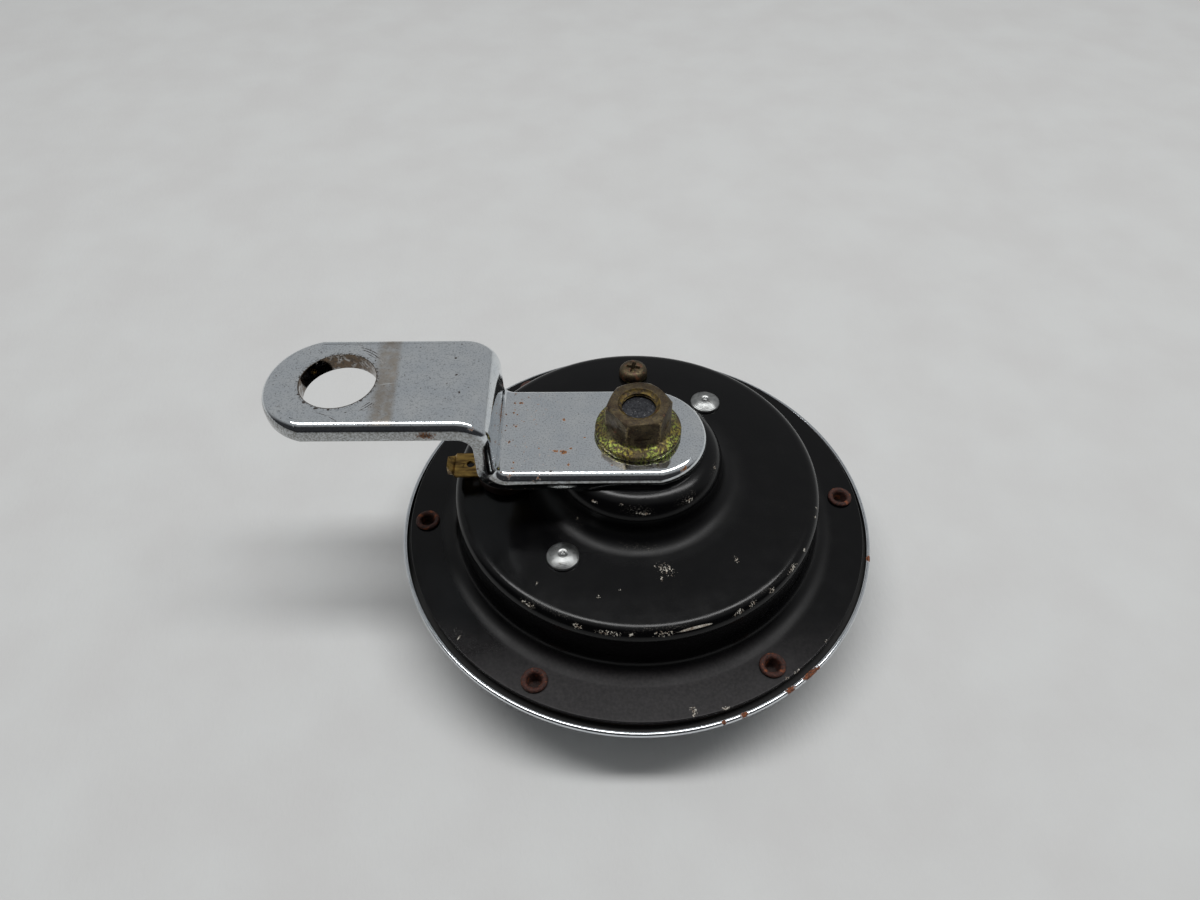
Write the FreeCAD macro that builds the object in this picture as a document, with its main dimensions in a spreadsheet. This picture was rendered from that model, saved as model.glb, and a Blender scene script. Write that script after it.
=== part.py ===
import FreeCAD, Part
import math
import os

import Sketcher

# Disc horn with a bracket, lying on its front cover. Millimetres, +Z up.
# The horn's axis is the Z axis and Z = 0 is the flat middle of the front cover.
# Terminal and mounting hole point to -X.

SIZES = [
    ("cover_sheet", "0.8", "front cover, sheet thickness"),
    ("cover_depth", "14.2", "front cover, depth of the dish below its ledge"),
    ("cover_flat_radius", "20", "front cover, flat middle that it rests on"),
    ("mouth_margin", "1", "front cover, mouth of the dish to the rivet heads"),
    ("lip_gap", "1.2", "front cover, upturned lip to the flange"),
    ("lip_height", "1.1", "front cover, lip above the ledge"),
    ("slot_count", "24", "front cover, number of sound slots"),
    ("slot_width", "3", "front cover, width of a sound slot"),
    ("slot_from_flat", "5", "front cover, flat middle to the sound slots"),
    ("slot_to_mouth", "5.6", "front cover, sound slots to the mouth of the dish"),
    ("gasket_thickness", "0.5", "gaskets, thickness"),
    ("gasket_width", "7.2", "gaskets, width of the ring"),
    ("edge_step", "0.5", "gaskets and diaphragm, set back from the flange edge"),
    ("diaphragm_thickness", "0.4", "diaphragm, thickness"),
    ("corrugation_radius", "31", "diaphragm, middle of the pressed ring"),
    ("corrugation_width", "7", "diaphragm, width of the pressed ring"),
    ("corrugation_depth", "0.8", "diaphragm, depth of the pressed ring"),
    ("housing_sheet", "1.2", "rear housing, sheet thickness"),
    ("flange_width", "11.5", "rear housing, flange beyond the drum"),
    ("drum_margin", "2.5", "rear housing, terminal insulator to the drum's rounding"),
    ("contact_room", "1.2", "rear housing, room between the contact set and the diaphragm"),
    ("coil_room", "2.4", "rear housing, room round the coil"),
    ("boss_rise", "10.2", "rear housing, boss top above the drum top"),
    ("drum_shoulder", "2.8", "rear housing, outer rounding of the drum"),
    ("drum_root", "4.2", "rear housing, rounding between drum and flange"),
    ("boss_shoulder", "3.6", "rear housing, outer rounding of the boss"),
    ("boss_root", "4.1", "rear housing, hollow rounding at the boss"),
    ("rivet_count", "6", "flange rivets, number"),
    ("rivet_inset", "3.8", "flange rivets, from the flange edge"),
    ("rivet_turn", "3.6", "flange rivets, angle of the first"),
    ("rivet_radius", "1.9", "flange rivets, shank"),
    ("rivet_bore", "1.45", "flange rivets, radius of the hollow end"),
    ("rivet_roll_radius", "2.7", "flange rivets, rolled end"),
    ("rivet_roll_height", "0.8", "flange rivets, rolled end above the flange"),
    ("rivet_head_radius", "3.1", "flange rivets, head under the ledge"),
    ("rivet_head_height", "1", "flange rivets, height of that head"),
    ("rivet_floor", "0.8", "flange rivets, solid part above the head"),
    ("rivet_play", "0.1", "all rivets, play in their holes"),
    ("core_radius", "7", "pole core, radius"),
    ("stud_radius", "4", "pole core, threaded stud"),
    ("stud_short", "1.7", "pole core, end of the stud below the top of the flange nut"),
    ("stud_chamfer", "0.6", "pole core, chamfer at the end of the stud"),
    ("stud_play", "0.2", "play round the stud in the boss and the bracket"),
    ("air_gap", "0.65", "pole core to armature at rest"),
    ("core_below_yoke", "1.5", "pole core, length below the yoke plate"),
    ("yoke_thickness", "2", "yoke plate, thickness"),
    ("yoke_end_margin", "3.9", "yoke plate, length beyond its rivets"),
    ("yoke_side_room", "1.573", "yoke plate, room beside it to the contact block"),
    ("yoke_corner", "6", "yoke plate, corner rounding"),
    ("yoke_head_gap", "1.35", "yoke rivets, domed head to the boss root"),
    ("yoke_rivet_first", "52", "yoke rivets, angle of the first"),
    ("yoke_rivet_spread", "183", "yoke rivets, angle between the two"),
    ("yoke_rivet_radius", "2", "yoke rivets, shank"),
    ("yoke_head_radius", "3.45", "yoke rivets, domed head on the drum"),
    ("yoke_head_height", "1.7", "yoke rivets, height of the domed head"),
    ("yoke_head_rim", "0.5", "yoke rivets, straight rim of the domed head"),
    ("yoke_foot_radius", "3", "yoke rivets, inner head"),
    ("yoke_foot_height", "1.2", "yoke rivets, height of the inner head"),
    ("bobbin_play", "0.2", "coil bobbin, play round the core"),
    ("bobbin_wall", "1.4", "coil bobbin, wall of the tube"),
    ("bobbin_flange", "1", "coil bobbin, thickness of each flange"),
    ("bobbin_lip", "0.4", "coil bobbin, flanges beyond the winding"),
    ("winding_depth", "5.6", "coil winding, depth of the wire"),
    ("armature_radius", "12", "armature, slug that faces the core"),
    ("foot_room", "0.773", "armature, foot on the diaphragm to the edge of the fixed contact carrier"),
    ("armature_flange", "1.8", "armature, thickness of the foot"),
    ("rod_radius", "3", "armature rod, radius"),
    ("rod_play", "0.1", "armature rod, play in the diaphragm"),
    ("rod_depth", "5", "armature rod, length inside the armature"),
    ("rod_tip", "0.8", "armature rod, length past the nut"),
    ("spacer_height", "3", "tone disc spacer, height"),
    ("spacer_radius", "6", "tone disc spacer, radius"),
    ("disc_thickness", "1.2", "tone disc, thickness"),
    ("disc_radius", "34", "tone disc, radius"),
    ("disc_flat_radius", "10", "tone disc, flat middle"),
    ("disc_dish", "1.6", "tone disc, rise of the rim above the middle"),
    ("nut_flats", "10", "tone disc nut, across flats"),
    ("nut_height", "4", "tone disc nut, height"),
    ("terminal_rivet_radius", "2", "terminal rivet, shank"),
    ("terminal_head_radius", "3.5", "terminal rivet, head on the terminal"),
    ("terminal_head_height", "1.2", "terminal rivet, height of that head"),
    ("terminal_foot_radius", "3.4", "terminal rivet, inner head"),
    ("terminal_foot_height", "1", "terminal rivet, height of the inner head"),
    ("terminal_play", "0.05", "terminal rivet, play in its holes"),
    ("bush_radius", "3.9", "terminal insulator, spigot in the housing"),
    ("bush_play", "0.1", "terminal insulator, play of the spigot"),
    ("insulator_radius", "6.2", "terminal insulator, washer on the drum"),
    ("insulator_height", "2.6", "terminal insulator, height of the washer"),
    ("blade_width", "6.3", "spade terminal, width"),
    ("blade_thickness", "0.8", "spade terminal, thickness"),
    ("blade_reach", "12.6", "spade terminal, rivet to the tip"),
    ("blade_seat_radius", "5", "spade terminal, round end at the rivet"),
    ("blade_chamfer", "1.7", "spade terminal, cut corners of the tip"),
    ("blade_hole_radius", "0.9", "spade terminal, latch hole"),
    ("blade_hole_reach", "7.6", "spade terminal, rivet to the latch hole"),
    ("block_height", "7.45", "contact block, height"),
    ("block_half", "5.5", "contact block, half of each side"),
    ("spigot_radius", "3", "contact block, spigot inside the contact arm"),
    ("arm_play", "0.25", "contact arm, room above and below its clamp"),
    ("arm_thickness", "0.5", "contact arm, thickness"),
    ("arm_hole_play", "0.4", "contact arm, play of its hole round the spigot"),
    ("arm_side", "0.6", "contact arm, beside its hole"),
    ("arm_tail_margin", "1.6", "contact arm, behind its hole"),
    ("arm_lug_half", "2.8", "contact arm, half width of the lug over the push pin"),
    ("arm_lug_margin", "1.7", "contact arm, lug past the middle of the push pin"),
    ("arm_tag_half", "1.6", "contact arm, half width of the solder tag"),
    ("arm_tag_reach", "8.8", "contact arm, reach of the solder tag"),
    ("contact_distance", "11.5", "contacts, distance from the terminal rivet"),
    ("contact_radius", "2.2", "contacts, radius"),
    ("contact_height", "0.99", "contacts, height of each"),
    ("contact_gap", "0.02", "contacts, film between them at rest"),
    ("carrier_thickness", "1.2", "fixed contact carrier, thickness"),
    ("carrier_half_width", "3.5", "fixed contact carrier, half of its width"),
    ("carrier_end_radius", "4.5", "fixed contact carrier, round end at the screw"),
    ("pin_radius", "1.4", "push pin, radius"),
    ("pin_margin", "0.827", "push pin, to the edge of the armature's foot"),
    ("pin_gap", "0.06", "push pin, film under the contact arm"),
    ("screw_head_gap", "5.6", "adjusting screw, head to the boss root"),
    ("screw_radius", "2", "adjusting screw, shank"),
    ("screw_play", "0.05", "adjusting screw, play in the carrier"),
    ("screw_hole_play", "0.2", "adjusting screw, play in the housing"),
    ("screw_head_radius", "3.4", "adjusting screw, pan head"),
    ("screw_head_height", "2.5", "adjusting screw, height of the head"),
    ("screw_head_rounding", "1.6", "adjusting screw, rounding of the head"),
    ("screw_seat_gap", "0.05", "adjusting screw, head above the drum"),
    ("screw_tip", "0.8", "adjusting screw, length past the carrier"),
    ("recess_depth", "1.7", "adjusting screw, depth of the cross recess"),
    ("recess_reach", "1.9", "adjusting screw, half length of the cross"),
    ("recess_half_width", "0.5", "adjusting screw, half width of the cross"),
    ("lead_radius", "0.4", "coil leads, radius"),
    ("lead_room", "2.6", "coil leads, from the bobbin to the run going down"),
    ("lead_exit_height", "0.7", "coil leads, axis above the lower bobbin flange"),
    ("lead_run_depth", "5", "coil leads, level below the drum top"),
    ("bracket_thickness", "3.6", "bracket, sheet thickness"),
    ("bracket_width", "25.5", "bracket, width"),
    ("bracket_step", "28.5", "bracket, axis to the upright part"),
    ("bracket_rise", "14.9", "bracket, upper leg above the lower one"),
    ("bend_radius", "1", "bracket, inner radius of both bends"),
    ("lower_end_swell", "0.35", "bracket, radius of the stud end beyond half the width"),
    ("lower_end_shift", "1.3", "bracket, middle of the stud end beyond the axis"),
    ("upper_end_swell", "0.55", "bracket, radius of the hole end beyond half the width"),
    ("upper_end_shift", "1.7", "bracket, middle of the hole end beyond the hole"),
    ("bracket_hole_radius", "7.5", "bracket, mounting hole"),
    ("bracket_hole_distance", "59.1", "bracket, axis to the mounting hole"),
    ("flange_nut_flats", "12", "flange nut, across flats"),
    ("flange_nut_height", "8", "flange nut, height"),
    ("flange_nut_radius", "8.95", "flange nut, flange"),
    ("flange_nut_rim", "1.2", "flange nut, rim of the flange"),
    ("flange_nut_cone", "1.3", "flange nut, rise of the sloping flange"),
    ("flange_nut_chamfer", "0.9", "flange nut, chamfer of the top corners"),
    ("flange_nut_turn", "38", "flange nut, angle it was left at"),
    ("thread_play", "0.03", "nuts, play round their threads"),
]

# Sizes that follow from others: the horn grows outwards from its magnet.
FITTED_SIZES = [
    ("winding_inside", "core_radius + bobbin_play + bobbin_wall", "coil winding, inside"),
    ("winding_radius", "winding_inside + winding_depth", "coil winding, outside"),
    ("bobbin_radius", "winding_radius + bobbin_lip", "coil bobbin, flanges"),
    ("boss_radius", "bobbin_radius + coil_room + housing_sheet", "rear housing, outside of the boss"),
    ("boss_foot_radius", "boss_radius + boss_root", "rear housing, where the drum top is flat"),
    ("yoke_rivet_circle", "boss_foot_radius + yoke_head_gap + yoke_head_radius", "yoke rivets, circle"),
    ("terminal_circle", "boss_foot_radius + insulator_radius", "terminal rivet, from the axis"),
    ("screw_circle", "boss_foot_radius + screw_head_gap + screw_head_radius", "screw, from the axis"),
    ("drum_radius", "terminal_circle + insulator_radius + drum_margin + drum_shoulder", "housing, drum"),
    ("flange_radius", "drum_radius + flange_width", "rear housing, flange"),
    ("rivet_circle", "flange_radius - rivet_inset", "flange rivets, from the axis"),
    ("cover_radius", "flange_radius + lip_gap + cover_sheet", "front cover, outside of the upturned lip"),
    ("cover_mouth_radius", "rivet_circle - rivet_head_radius - mouth_margin", "cover, mouth of the dish"),
    ("slot_start", "cover_flat_radius + slot_from_flat", "front cover, inner end of a sound slot"),
    ("slot_end", "cover_mouth_radius - slot_to_mouth", "front cover, outer end of a sound slot"),
    ("screw_distance", "sqrt(screw_circle ^ 2 + terminal_circle ^ 2)", "terminal rivet to adjusting screw"),
    ("axis_distance", "screw_circle * terminal_circle / screw_distance", "contact set, from the axis"),
    ("pin_along", "terminal_circle ^ 2 / screw_distance", "push pin, along the contact set"),
    ("armature_foot_radius", "axis_distance - carrier_half_width - foot_room", "armature, its foot"),
    ("pin_from_axis", "armature_foot_radius - pin_radius - pin_margin", "push pin, from the axis"),
    ("pin_inset", "axis_distance - pin_from_axis", "push pin, from the arm's middle line"),
    ("yoke_half_length", "yoke_rivet_circle + yoke_end_margin", "yoke plate, half of its length"),
    ("yoke_half_width", "axis_distance - block_half - yoke_side_room", "yoke plate, half of its width"),
    ("arm_hole_radius", "spigot_radius + arm_hole_play", "contact arm, hole round the spigot"),
    ("arm_half_width", "arm_hole_radius + arm_side", "contact arm, half of its width"),
    ("arm_tail", "arm_hole_radius + arm_tail_margin", "contact arm, length behind the rivet"),
    ("arm_lug_start", "pin_along - arm_lug_half", "contact arm, start of the lug"),
    ("arm_length", "pin_along + arm_lug_half", "contact arm, rivet to the tip"),
    ("arm_lug_reach", "pin_inset + arm_lug_margin", "contact arm, lug towards the armature"),
    ("lead_drop_radius", "bobbin_radius + lead_room", "coil leads, run going down"),
    ("lower_end_radius", "bracket_width / 2 + lower_end_swell", "bracket, round end at the stud"),
    ("upper_end_radius", "bracket_width / 2 + upper_end_swell", "bracket, round end at the hole"),
]

doc = FreeCAD.newDocument("DiscHorn")
sheet = doc.addObject("Spreadsheet::Sheet", "Sizes")
cells = SIZES + [(alias, f"={formula}", note) for alias, formula, note in FITTED_SIZES]
for row, (alias, content, note) in enumerate(cells, start=1):
    sheet.set(f"A{row}", note)
    sheet.set(f"B{row}", content)
    sheet.setAlias(f"B{row}", alias)
doc.recompute()


class Size:
    """A number with the expression that works it out from the sheet."""

    def __init__(self, value, text):
        self.value = float(value)
        self.text = text

    def __add__(self, other):
        other = as_size(other)
        return Size(self.value + other.value, f"({self.text} + {other.text})")

    def __sub__(self, other):
        other = as_size(other)
        return Size(self.value - other.value, f"({self.text} - {other.text})")

    def __mul__(self, other):
        other = as_size(other)
        return Size(self.value * other.value, f"({self.text} * {other.text})")

    def __truediv__(self, other):
        other = as_size(other)
        return Size(self.value / other.value, f"({self.text} / {other.text})")

    def __neg__(self):
        return Size(-self.value, f"(0 - {self.text})")


def as_size(number):
    return number if isinstance(number, Size) else Size(number, str(number))


def root(square):
    return Size(math.sqrt(square.value), f"sqrt({square.text})")


def cosine(angle):
    return Size(math.cos(math.radians(angle.value)), f"cos({angle.text})")


def sine(angle):
    return Size(math.sin(math.radians(angle.value)), f"sin({angle.text})")


def arc_tangent(ratio):
    return Size(math.degrees(math.atan(ratio.value)), f"atan({ratio.text})")


def named(alias):
    return Size(sheet.get(alias), f"Sizes.{alias}")


size = {alias: named(alias) for alias, content, note in cells}
zero = as_size(0)

# Levels of the stack, from the front cover up to the flange.
ledge_under = size["cover_depth"]
ledge_top = ledge_under + size["cover_sheet"]
diaphragm_under = ledge_top + size["gasket_thickness"]
diaphragm_top = diaphragm_under + size["diaphragm_thickness"]
flange_under = diaphragm_top + size["gasket_thickness"]
flange_top = flange_under + size["housing_sheet"]

# Levels of the contact set, which decides how high the drum is.
carrier_under = diaphragm_top + size["contact_room"] + size["terminal_foot_height"]
carrier_top = carrier_under + size["carrier_thickness"]
arm_under = carrier_top + size["contact_height"] * 2 + size["contact_gap"]
insulator_top = arm_under - size["arm_play"]
arm_top = arm_under + size["arm_thickness"]
block_under = arm_top + size["arm_play"]
drum_ceiling = block_under + size["block_height"]
drum_top = drum_ceiling + size["housing_sheet"]

# Levels of the magnet and of what stands on the boss.
foot_top = diaphragm_top + size["armature_flange"]
yoke_under = drum_ceiling - size["yoke_thickness"]
pole_face = yoke_under - size["core_below_yoke"]
armature_top = pole_face - size["air_gap"]
boss_top = drum_top + size["boss_rise"]
boss_ceiling = boss_top - size["housing_sheet"]
bracket_top = boss_top + size["bracket_thickness"]
upper_leg_top = bracket_top + size["bracket_rise"]
upper_leg_under = upper_leg_top - size["bracket_thickness"]
nut_top = bracket_top + size["flange_nut_height"]
stud_top = nut_top - size["stud_short"]

# Levels in front of the diaphragm.
spacer_under = diaphragm_under - size["spacer_height"]
disc_under = spacer_under - size["disc_thickness"]
nut_under = disc_under - size["nut_height"]

# The contact set lies on the line from the terminal rivet to the adjusting screw.
set_angle = arc_tangent(size["screw_circle"] / size["terminal_circle"])


def bind(item, name, value):
    setattr(item, name, value.value)
    item.setExpression(name, value.text)


def new_body(name):
    body = doc.addObject("PartDesign::Body", name)
    body.Label = name
    body.AllowCompound = True
    return body


def place(item, x=zero, y=zero, angle=zero):
    turn = FreeCAD.Rotation(FreeCAD.Vector(0, 0, 1), angle.value)
    item.Placement = FreeCAD.Placement(FreeCAD.Vector(x.value, y.value, 0), turn)
    item.setExpression("Placement.Base.x", x.text)
    item.setExpression("Placement.Base.y", y.text)
    item.setExpression("Placement.Rotation.Angle", angle.text)


def origin_part(body, role):
    return next(feature for feature in body.Origin.OriginFeatures if feature.Role == role)


def new_sketch(body, role, name, along=None, level=None):
    """A sketch on one of the body's own planes: along moves its origin sideways, level lifts it."""
    sketch = body.newObject("Sketcher::SketchObject", f"{body.Name}_{name}")
    sketch.AttachmentSupport = [(origin_part(body, role), "")]
    sketch.MapMode = "FlatFace"
    along = along or zero
    level = level or zero
    sketch.AttachmentOffset = FreeCAD.Placement(
        FreeCAD.Vector(along.value, 0, level.value), FreeCAD.Rotation()
    )
    sketch.setExpression("AttachmentOffset.Base.x", along.text)
    sketch.setExpression("AttachmentOffset.Base.z", level.text)
    return sketch


def hold(sketch, kind, value, *geometry):
    """A dimension bound to the sheet, or a point held on an axis where the value is nought."""
    if value is zero:
        axis = {"DistanceX": -2, "DistanceY": -1}[kind]
        sketch.addConstraint(Sketcher.Constraint("PointOnObject", *geometry, axis))
        return
    if kind == "Radius":
        number = sketch.addConstraint(Sketcher.Constraint(kind, *geometry, value.value))
    else:
        number = sketch.addConstraint(Sketcher.Constraint(kind, -1, 1, *geometry, value.value))
    sketch.setExpression(f"Constraints[{number}]", value.text)


def moved_towards(corner, neighbour, radius):
    """The corner's point, moved by the radius along the level or upright side to its neighbour."""
    x, y = corner[0], corner[1]
    across = neighbour[0].value - x.value
    upward = neighbour[1].value - y.value
    if abs(across) > abs(upward):
        return (x + radius, y) if across > 0 else (x - radius, y)
    return (x, y + radius) if upward > 0 else (x, y - radius)


def point(pair):
    return FreeCAD.Vector(pair[0].value, pair[1].value, 0)


def arc_between(start, end, centre):
    """The shorter arc, and whether it runs from start to end by the right-hand rule."""
    first = start - centre
    last = end - centre
    forward = first.cross(last).z > 0
    circle = Part.Circle(centre, FreeCAD.Vector(0, 0, 1), first.Length)
    low, high = (first, last) if forward else (last, first)
    low_angle = math.atan2(low.y, low.x)
    high_angle = math.atan2(high.y, high.x)
    if high_angle < low_angle:
        high_angle += 2 * math.pi
    return Part.ArcOfCircle(circle, low_angle, high_angle), forward


def outline(sketch, corners, arcs=None):
    """A closed outline. A corner is (x, y) or (x, y, radius), rounded between level and upright
    sides. arcs gives the centre of each side that is round, by the number of its first corner."""
    arcs = arcs or {}
    stops = []
    for number, corner in enumerate(corners):
        if len(corner) == 2:
            stops.append([corner])
            continue
        before = corners[number - 1]
        after = corners[(number + 1) % len(corners)]
        stops.append([moved_towards(corner, before, corner[2]), moved_towards(corner, after, corner[2])])
    pieces = []
    for number, corner in enumerate(corners):
        if len(corner) == 3:
            start, end = stops[number]
            centre = point(start) + point(end) - point(corner)
            pieces.append((start, end, centre, corner[2]))
        start = stops[number][-1]
        end = stops[(number + 1) % len(corners)][0]
        if number in arcs:
            middle = arcs[number]
            across = start[0] - middle[0]
            upward = start[1] - middle[1]
            pieces.append((start, end, point(middle), root(across * across + upward * upward)))
        else:
            pieces.append((start, end, None, None))
    ends = []
    for start, end, centre, radius in pieces:
        if centre is None:
            number = sketch.addGeometry(Part.LineSegment(point(start), point(end)))
            ends.append(((number, 1), (number, 2), start))
            continue
        curve, forward = arc_between(point(start), point(end), centre)
        number = sketch.addGeometry(curve)
        hold(sketch, "Radius", radius, number)
        ends.append(((number, 1), (number, 2), start) if forward else ((number, 2), (number, 1), start))
    for index, (first, last, start) in enumerate(ends):
        sketch.addConstraint(Sketcher.Constraint("Coincident", *ends[index - 1][1], *first))
        hold(sketch, "DistanceX", start[0], *first)
        hold(sketch, "DistanceY", start[1], *first)


def circle(sketch, x, y, radius):
    centre = FreeCAD.Vector(x.value, y.value, 0)
    shape = Part.Circle(centre, FreeCAD.Vector(0, 0, 1), radius.value)
    number = sketch.addGeometry(shape)
    hold(sketch, "DistanceX", x, number, 3)
    hold(sketch, "DistanceY", y, number, 3)
    hold(sketch, "Radius", radius, number)


def turned(body, corners, arcs=None, along=None, name="profile"):
    """A solid of revolution about an upright line, along gives the line's distance from the axis."""
    sketch = new_sketch(body, "XZ_Plane", name, along=along)
    outline(sketch, corners, arcs)
    feature = body.newObject("PartDesign::Revolution", f"{body.Name}_{name}_turned")
    feature.Profile = sketch
    feature.ReferenceAxis = (sketch, ["V_Axis"])
    feature.Angle = 360
    doc.recompute()
    return feature


def raised(body, sketch, height):
    feature = body.newObject("PartDesign::Pad", f"{sketch.Name}_pad")
    feature.Profile = sketch
    bind(feature, "Length", height)
    doc.recompute()
    return feature


def cut_through(body, sketch):
    """A cut both ways from the sketch, which has to take something away."""
    before = body.Shape.Volume
    feature = body.newObject("PartDesign::Pocket", f"{sketch.Name}_cut")
    feature.Profile = sketch
    feature.SideType = "Symmetric"
    feature.Type = "ThroughAll"
    doc.recompute()
    if body.Shape.Volume >= before:
        raise RuntimeError(f"{sketch.Name} cuts nothing")
    return feature


def hole(body, name, x, y, radius, level):
    sketch = new_sketch(body, "XY_Plane", name, level=level)
    circle(sketch, x, y, radius)
    return cut_through(body, sketch)


def round_pattern(body, feature, count, angle=None):
    """Copies round the axis: all the way round, or count copies spread over an angle."""
    pattern = body.newObject("PartDesign::PolarPattern", f"{feature.Name}_ring")
    pattern.Originals = [feature]
    pattern.Axis = (origin_part(body, "Z_Axis"), [""])
    if angle is None:
        pattern.Angle = 360
    else:
        bind(pattern, "Angle", angle)
    pattern.Occurrences = round(as_size(count).value)
    if isinstance(count, Size):
        pattern.setExpression("Occurrences", count.text)
    body.Tip = pattern
    doc.recompute()
    return pattern


def ring_of_holes(body, name, circle_radius, radius, level, first, count, angle=None):
    x = circle_radius * cosine(first)
    y = circle_radius * sine(first)
    feature = hole(body, name, x, y, radius, level)
    round_pattern(body, feature, count, angle)


def flange_holes(body, level):
    radius = size["rivet_radius"] + size["rivet_play"]
    ring_of_holes(
        body, "rivet_holes", size["rivet_circle"], radius, level, size["rivet_turn"], size["rivet_count"]
    )


def hexagon(sketch, across_flats):
    corner_radius = across_flats / root(as_size(3))
    corners = []
    for number in range(6):
        angle = as_size(60 * number + 30)
        corners.append((corner_radius * cosine(angle), corner_radius * sine(angle)))
    outline(sketch, corners)


# Front cover: a pressed dish with an upturned lip, and a ring of sound slots.
def make_front_cover():
    body = new_body("front_cover")
    flat = size["cover_flat_radius"]
    sheet_metal = size["cover_sheet"]
    span = size["cover_mouth_radius"] - flat
    bow = (span * span + ledge_under * ledge_under) / (ledge_under * 2)
    inner_bow = bow - sheet_metal
    drop = bow - ledge_top
    inner_mouth = flat + root(inner_bow * inner_bow - drop * drop)
    lip_top = ledge_top + size["lip_height"]
    lip_inside = size["cover_radius"] - sheet_metal
    lip_rounding = sheet_metal * 0.45
    corners = [
        (zero, zero),
        (flat, zero),
        (size["cover_mouth_radius"], ledge_under),
        (size["cover_radius"], ledge_under, sheet_metal),
        (size["cover_radius"], lip_top, lip_rounding),
        (lip_inside, lip_top, lip_rounding),
        (lip_inside, ledge_top),
        (inner_mouth, ledge_top),
        (flat, sheet_metal),
        (zero, sheet_metal),
    ]
    turned(body, corners, arcs={1: (flat, bow), 7: (flat, bow)})
    flange_holes(body, ledge_top)
    slot = new_sketch(body, "XY_Plane", "slot")
    half = size["slot_width"] / 2
    start, end = size["slot_start"], size["slot_end"]
    near, far = (start, zero), (end, zero)
    corners = [
        (start, -half),
        (end, -half),
        (end + half, zero),
        (end, half),
        (start, half),
        (start - half, zero),
    ]
    outline(slot, corners, arcs={1: far, 2: far, 4: near, 5: near})
    round_pattern(body, cut_through(body, slot), size["slot_count"])
    return body


def make_gasket(name, level):
    body = new_body(name)
    sketch = new_sketch(body, "XY_Plane", "ring", level=level)
    outer = size["flange_radius"] - size["edge_step"]
    circle(sketch, zero, zero, outer)
    circle(sketch, zero, zero, outer - size["gasket_width"])
    raised(body, sketch, size["gasket_thickness"])
    flange_holes(body, level + size["gasket_thickness"])
    return body


# Diaphragm: spring steel with one pressed ring, clamped at its rim.
def make_diaphragm():
    body = new_body("diaphragm")
    bore = size["rod_radius"] + size["rod_play"]
    rim = size["flange_radius"] - size["edge_step"]
    inner = size["corrugation_radius"] - size["corrugation_width"] / 2
    outer = size["corrugation_radius"] + size["corrugation_width"] / 2
    depth = size["corrugation_depth"]
    under = [
        (bore, diaphragm_under),
        (inner, diaphragm_under),
        (inner + depth, diaphragm_under - depth),
        (outer - depth, diaphragm_under - depth),
        (outer, diaphragm_under),
        (rim, diaphragm_under),
    ]
    over = [(x, y + size["diaphragm_thickness"]) for x, y in reversed(under)]
    turned(body, under + over)
    flange_holes(body, diaphragm_top)
    return body


# Rear housing: flange, drum and boss drawn from one sheet.
def make_rear_housing():
    body = new_body("rear_housing")
    wall = size["housing_sheet"]
    bore = size["stud_radius"] + size["stud_play"]
    drum, boss = size["drum_radius"], size["boss_radius"]
    corners = [
        (bore, boss_top),
        (boss, boss_top, size["boss_shoulder"]),
        (boss, drum_top, size["boss_root"]),
        (drum, drum_top, size["drum_shoulder"]),
        (drum, flange_top, size["drum_root"]),
        (size["flange_radius"], flange_top),
        (size["flange_radius"], flange_under),
        (drum - wall, flange_under, size["drum_root"] + wall),
        (drum - wall, drum_ceiling, size["drum_shoulder"] - wall),
        (boss - wall, drum_ceiling, size["boss_root"] + wall),
        (boss - wall, boss_ceiling, size["boss_shoulder"] - wall),
        (bore, boss_ceiling),
    ]
    turned(body, corners)
    flange_holes(body, flange_top)
    radius = size["yoke_rivet_radius"] + size["rivet_play"]
    ring_of_holes(
        body,
        "yoke_rivet_holes",
        size["yoke_rivet_circle"],
        radius,
        drum_top,
        size["yoke_rivet_first"],
        2,
        size["yoke_rivet_spread"],
    )
    bush = size["bush_radius"] + size["bush_play"]
    hole(body, "terminal_hole", -size["terminal_circle"], zero, bush, drum_top)
    screw = size["screw_radius"] + size["screw_hole_play"]
    hole(body, "screw_hole", zero, size["screw_circle"], screw, drum_top)
    return body


# Tubular rivets: round head under the ledge, rolled hollow end on the flange.
def make_flange_rivets():
    body = new_body("flange_rivets")
    head_under = ledge_under - size["rivet_head_height"]
    roll_top = flange_top + size["rivet_roll_height"]
    shank, bore = size["rivet_radius"], size["rivet_bore"]
    roll_rounding = (size["rivet_roll_radius"] - bore) * 0.352
    corners = [
        (zero, head_under),
        (size["rivet_head_radius"], head_under, size["rivet_head_height"] * 0.7),
        (size["rivet_head_radius"], ledge_under),
        (shank, ledge_under),
        (shank, flange_top),
        (size["rivet_roll_radius"], flange_top),
        (size["rivet_roll_radius"], roll_top, roll_rounding),
        (bore, roll_top, roll_rounding),
        (bore, ledge_under + size["rivet_floor"]),
        (zero, ledge_under + size["rivet_floor"]),
    ]
    rivet = turned(body, corners, along=size["rivet_circle"])
    round_pattern(body, rivet, size["rivet_count"])
    place(body, angle=size["rivet_turn"])
    return body


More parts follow.
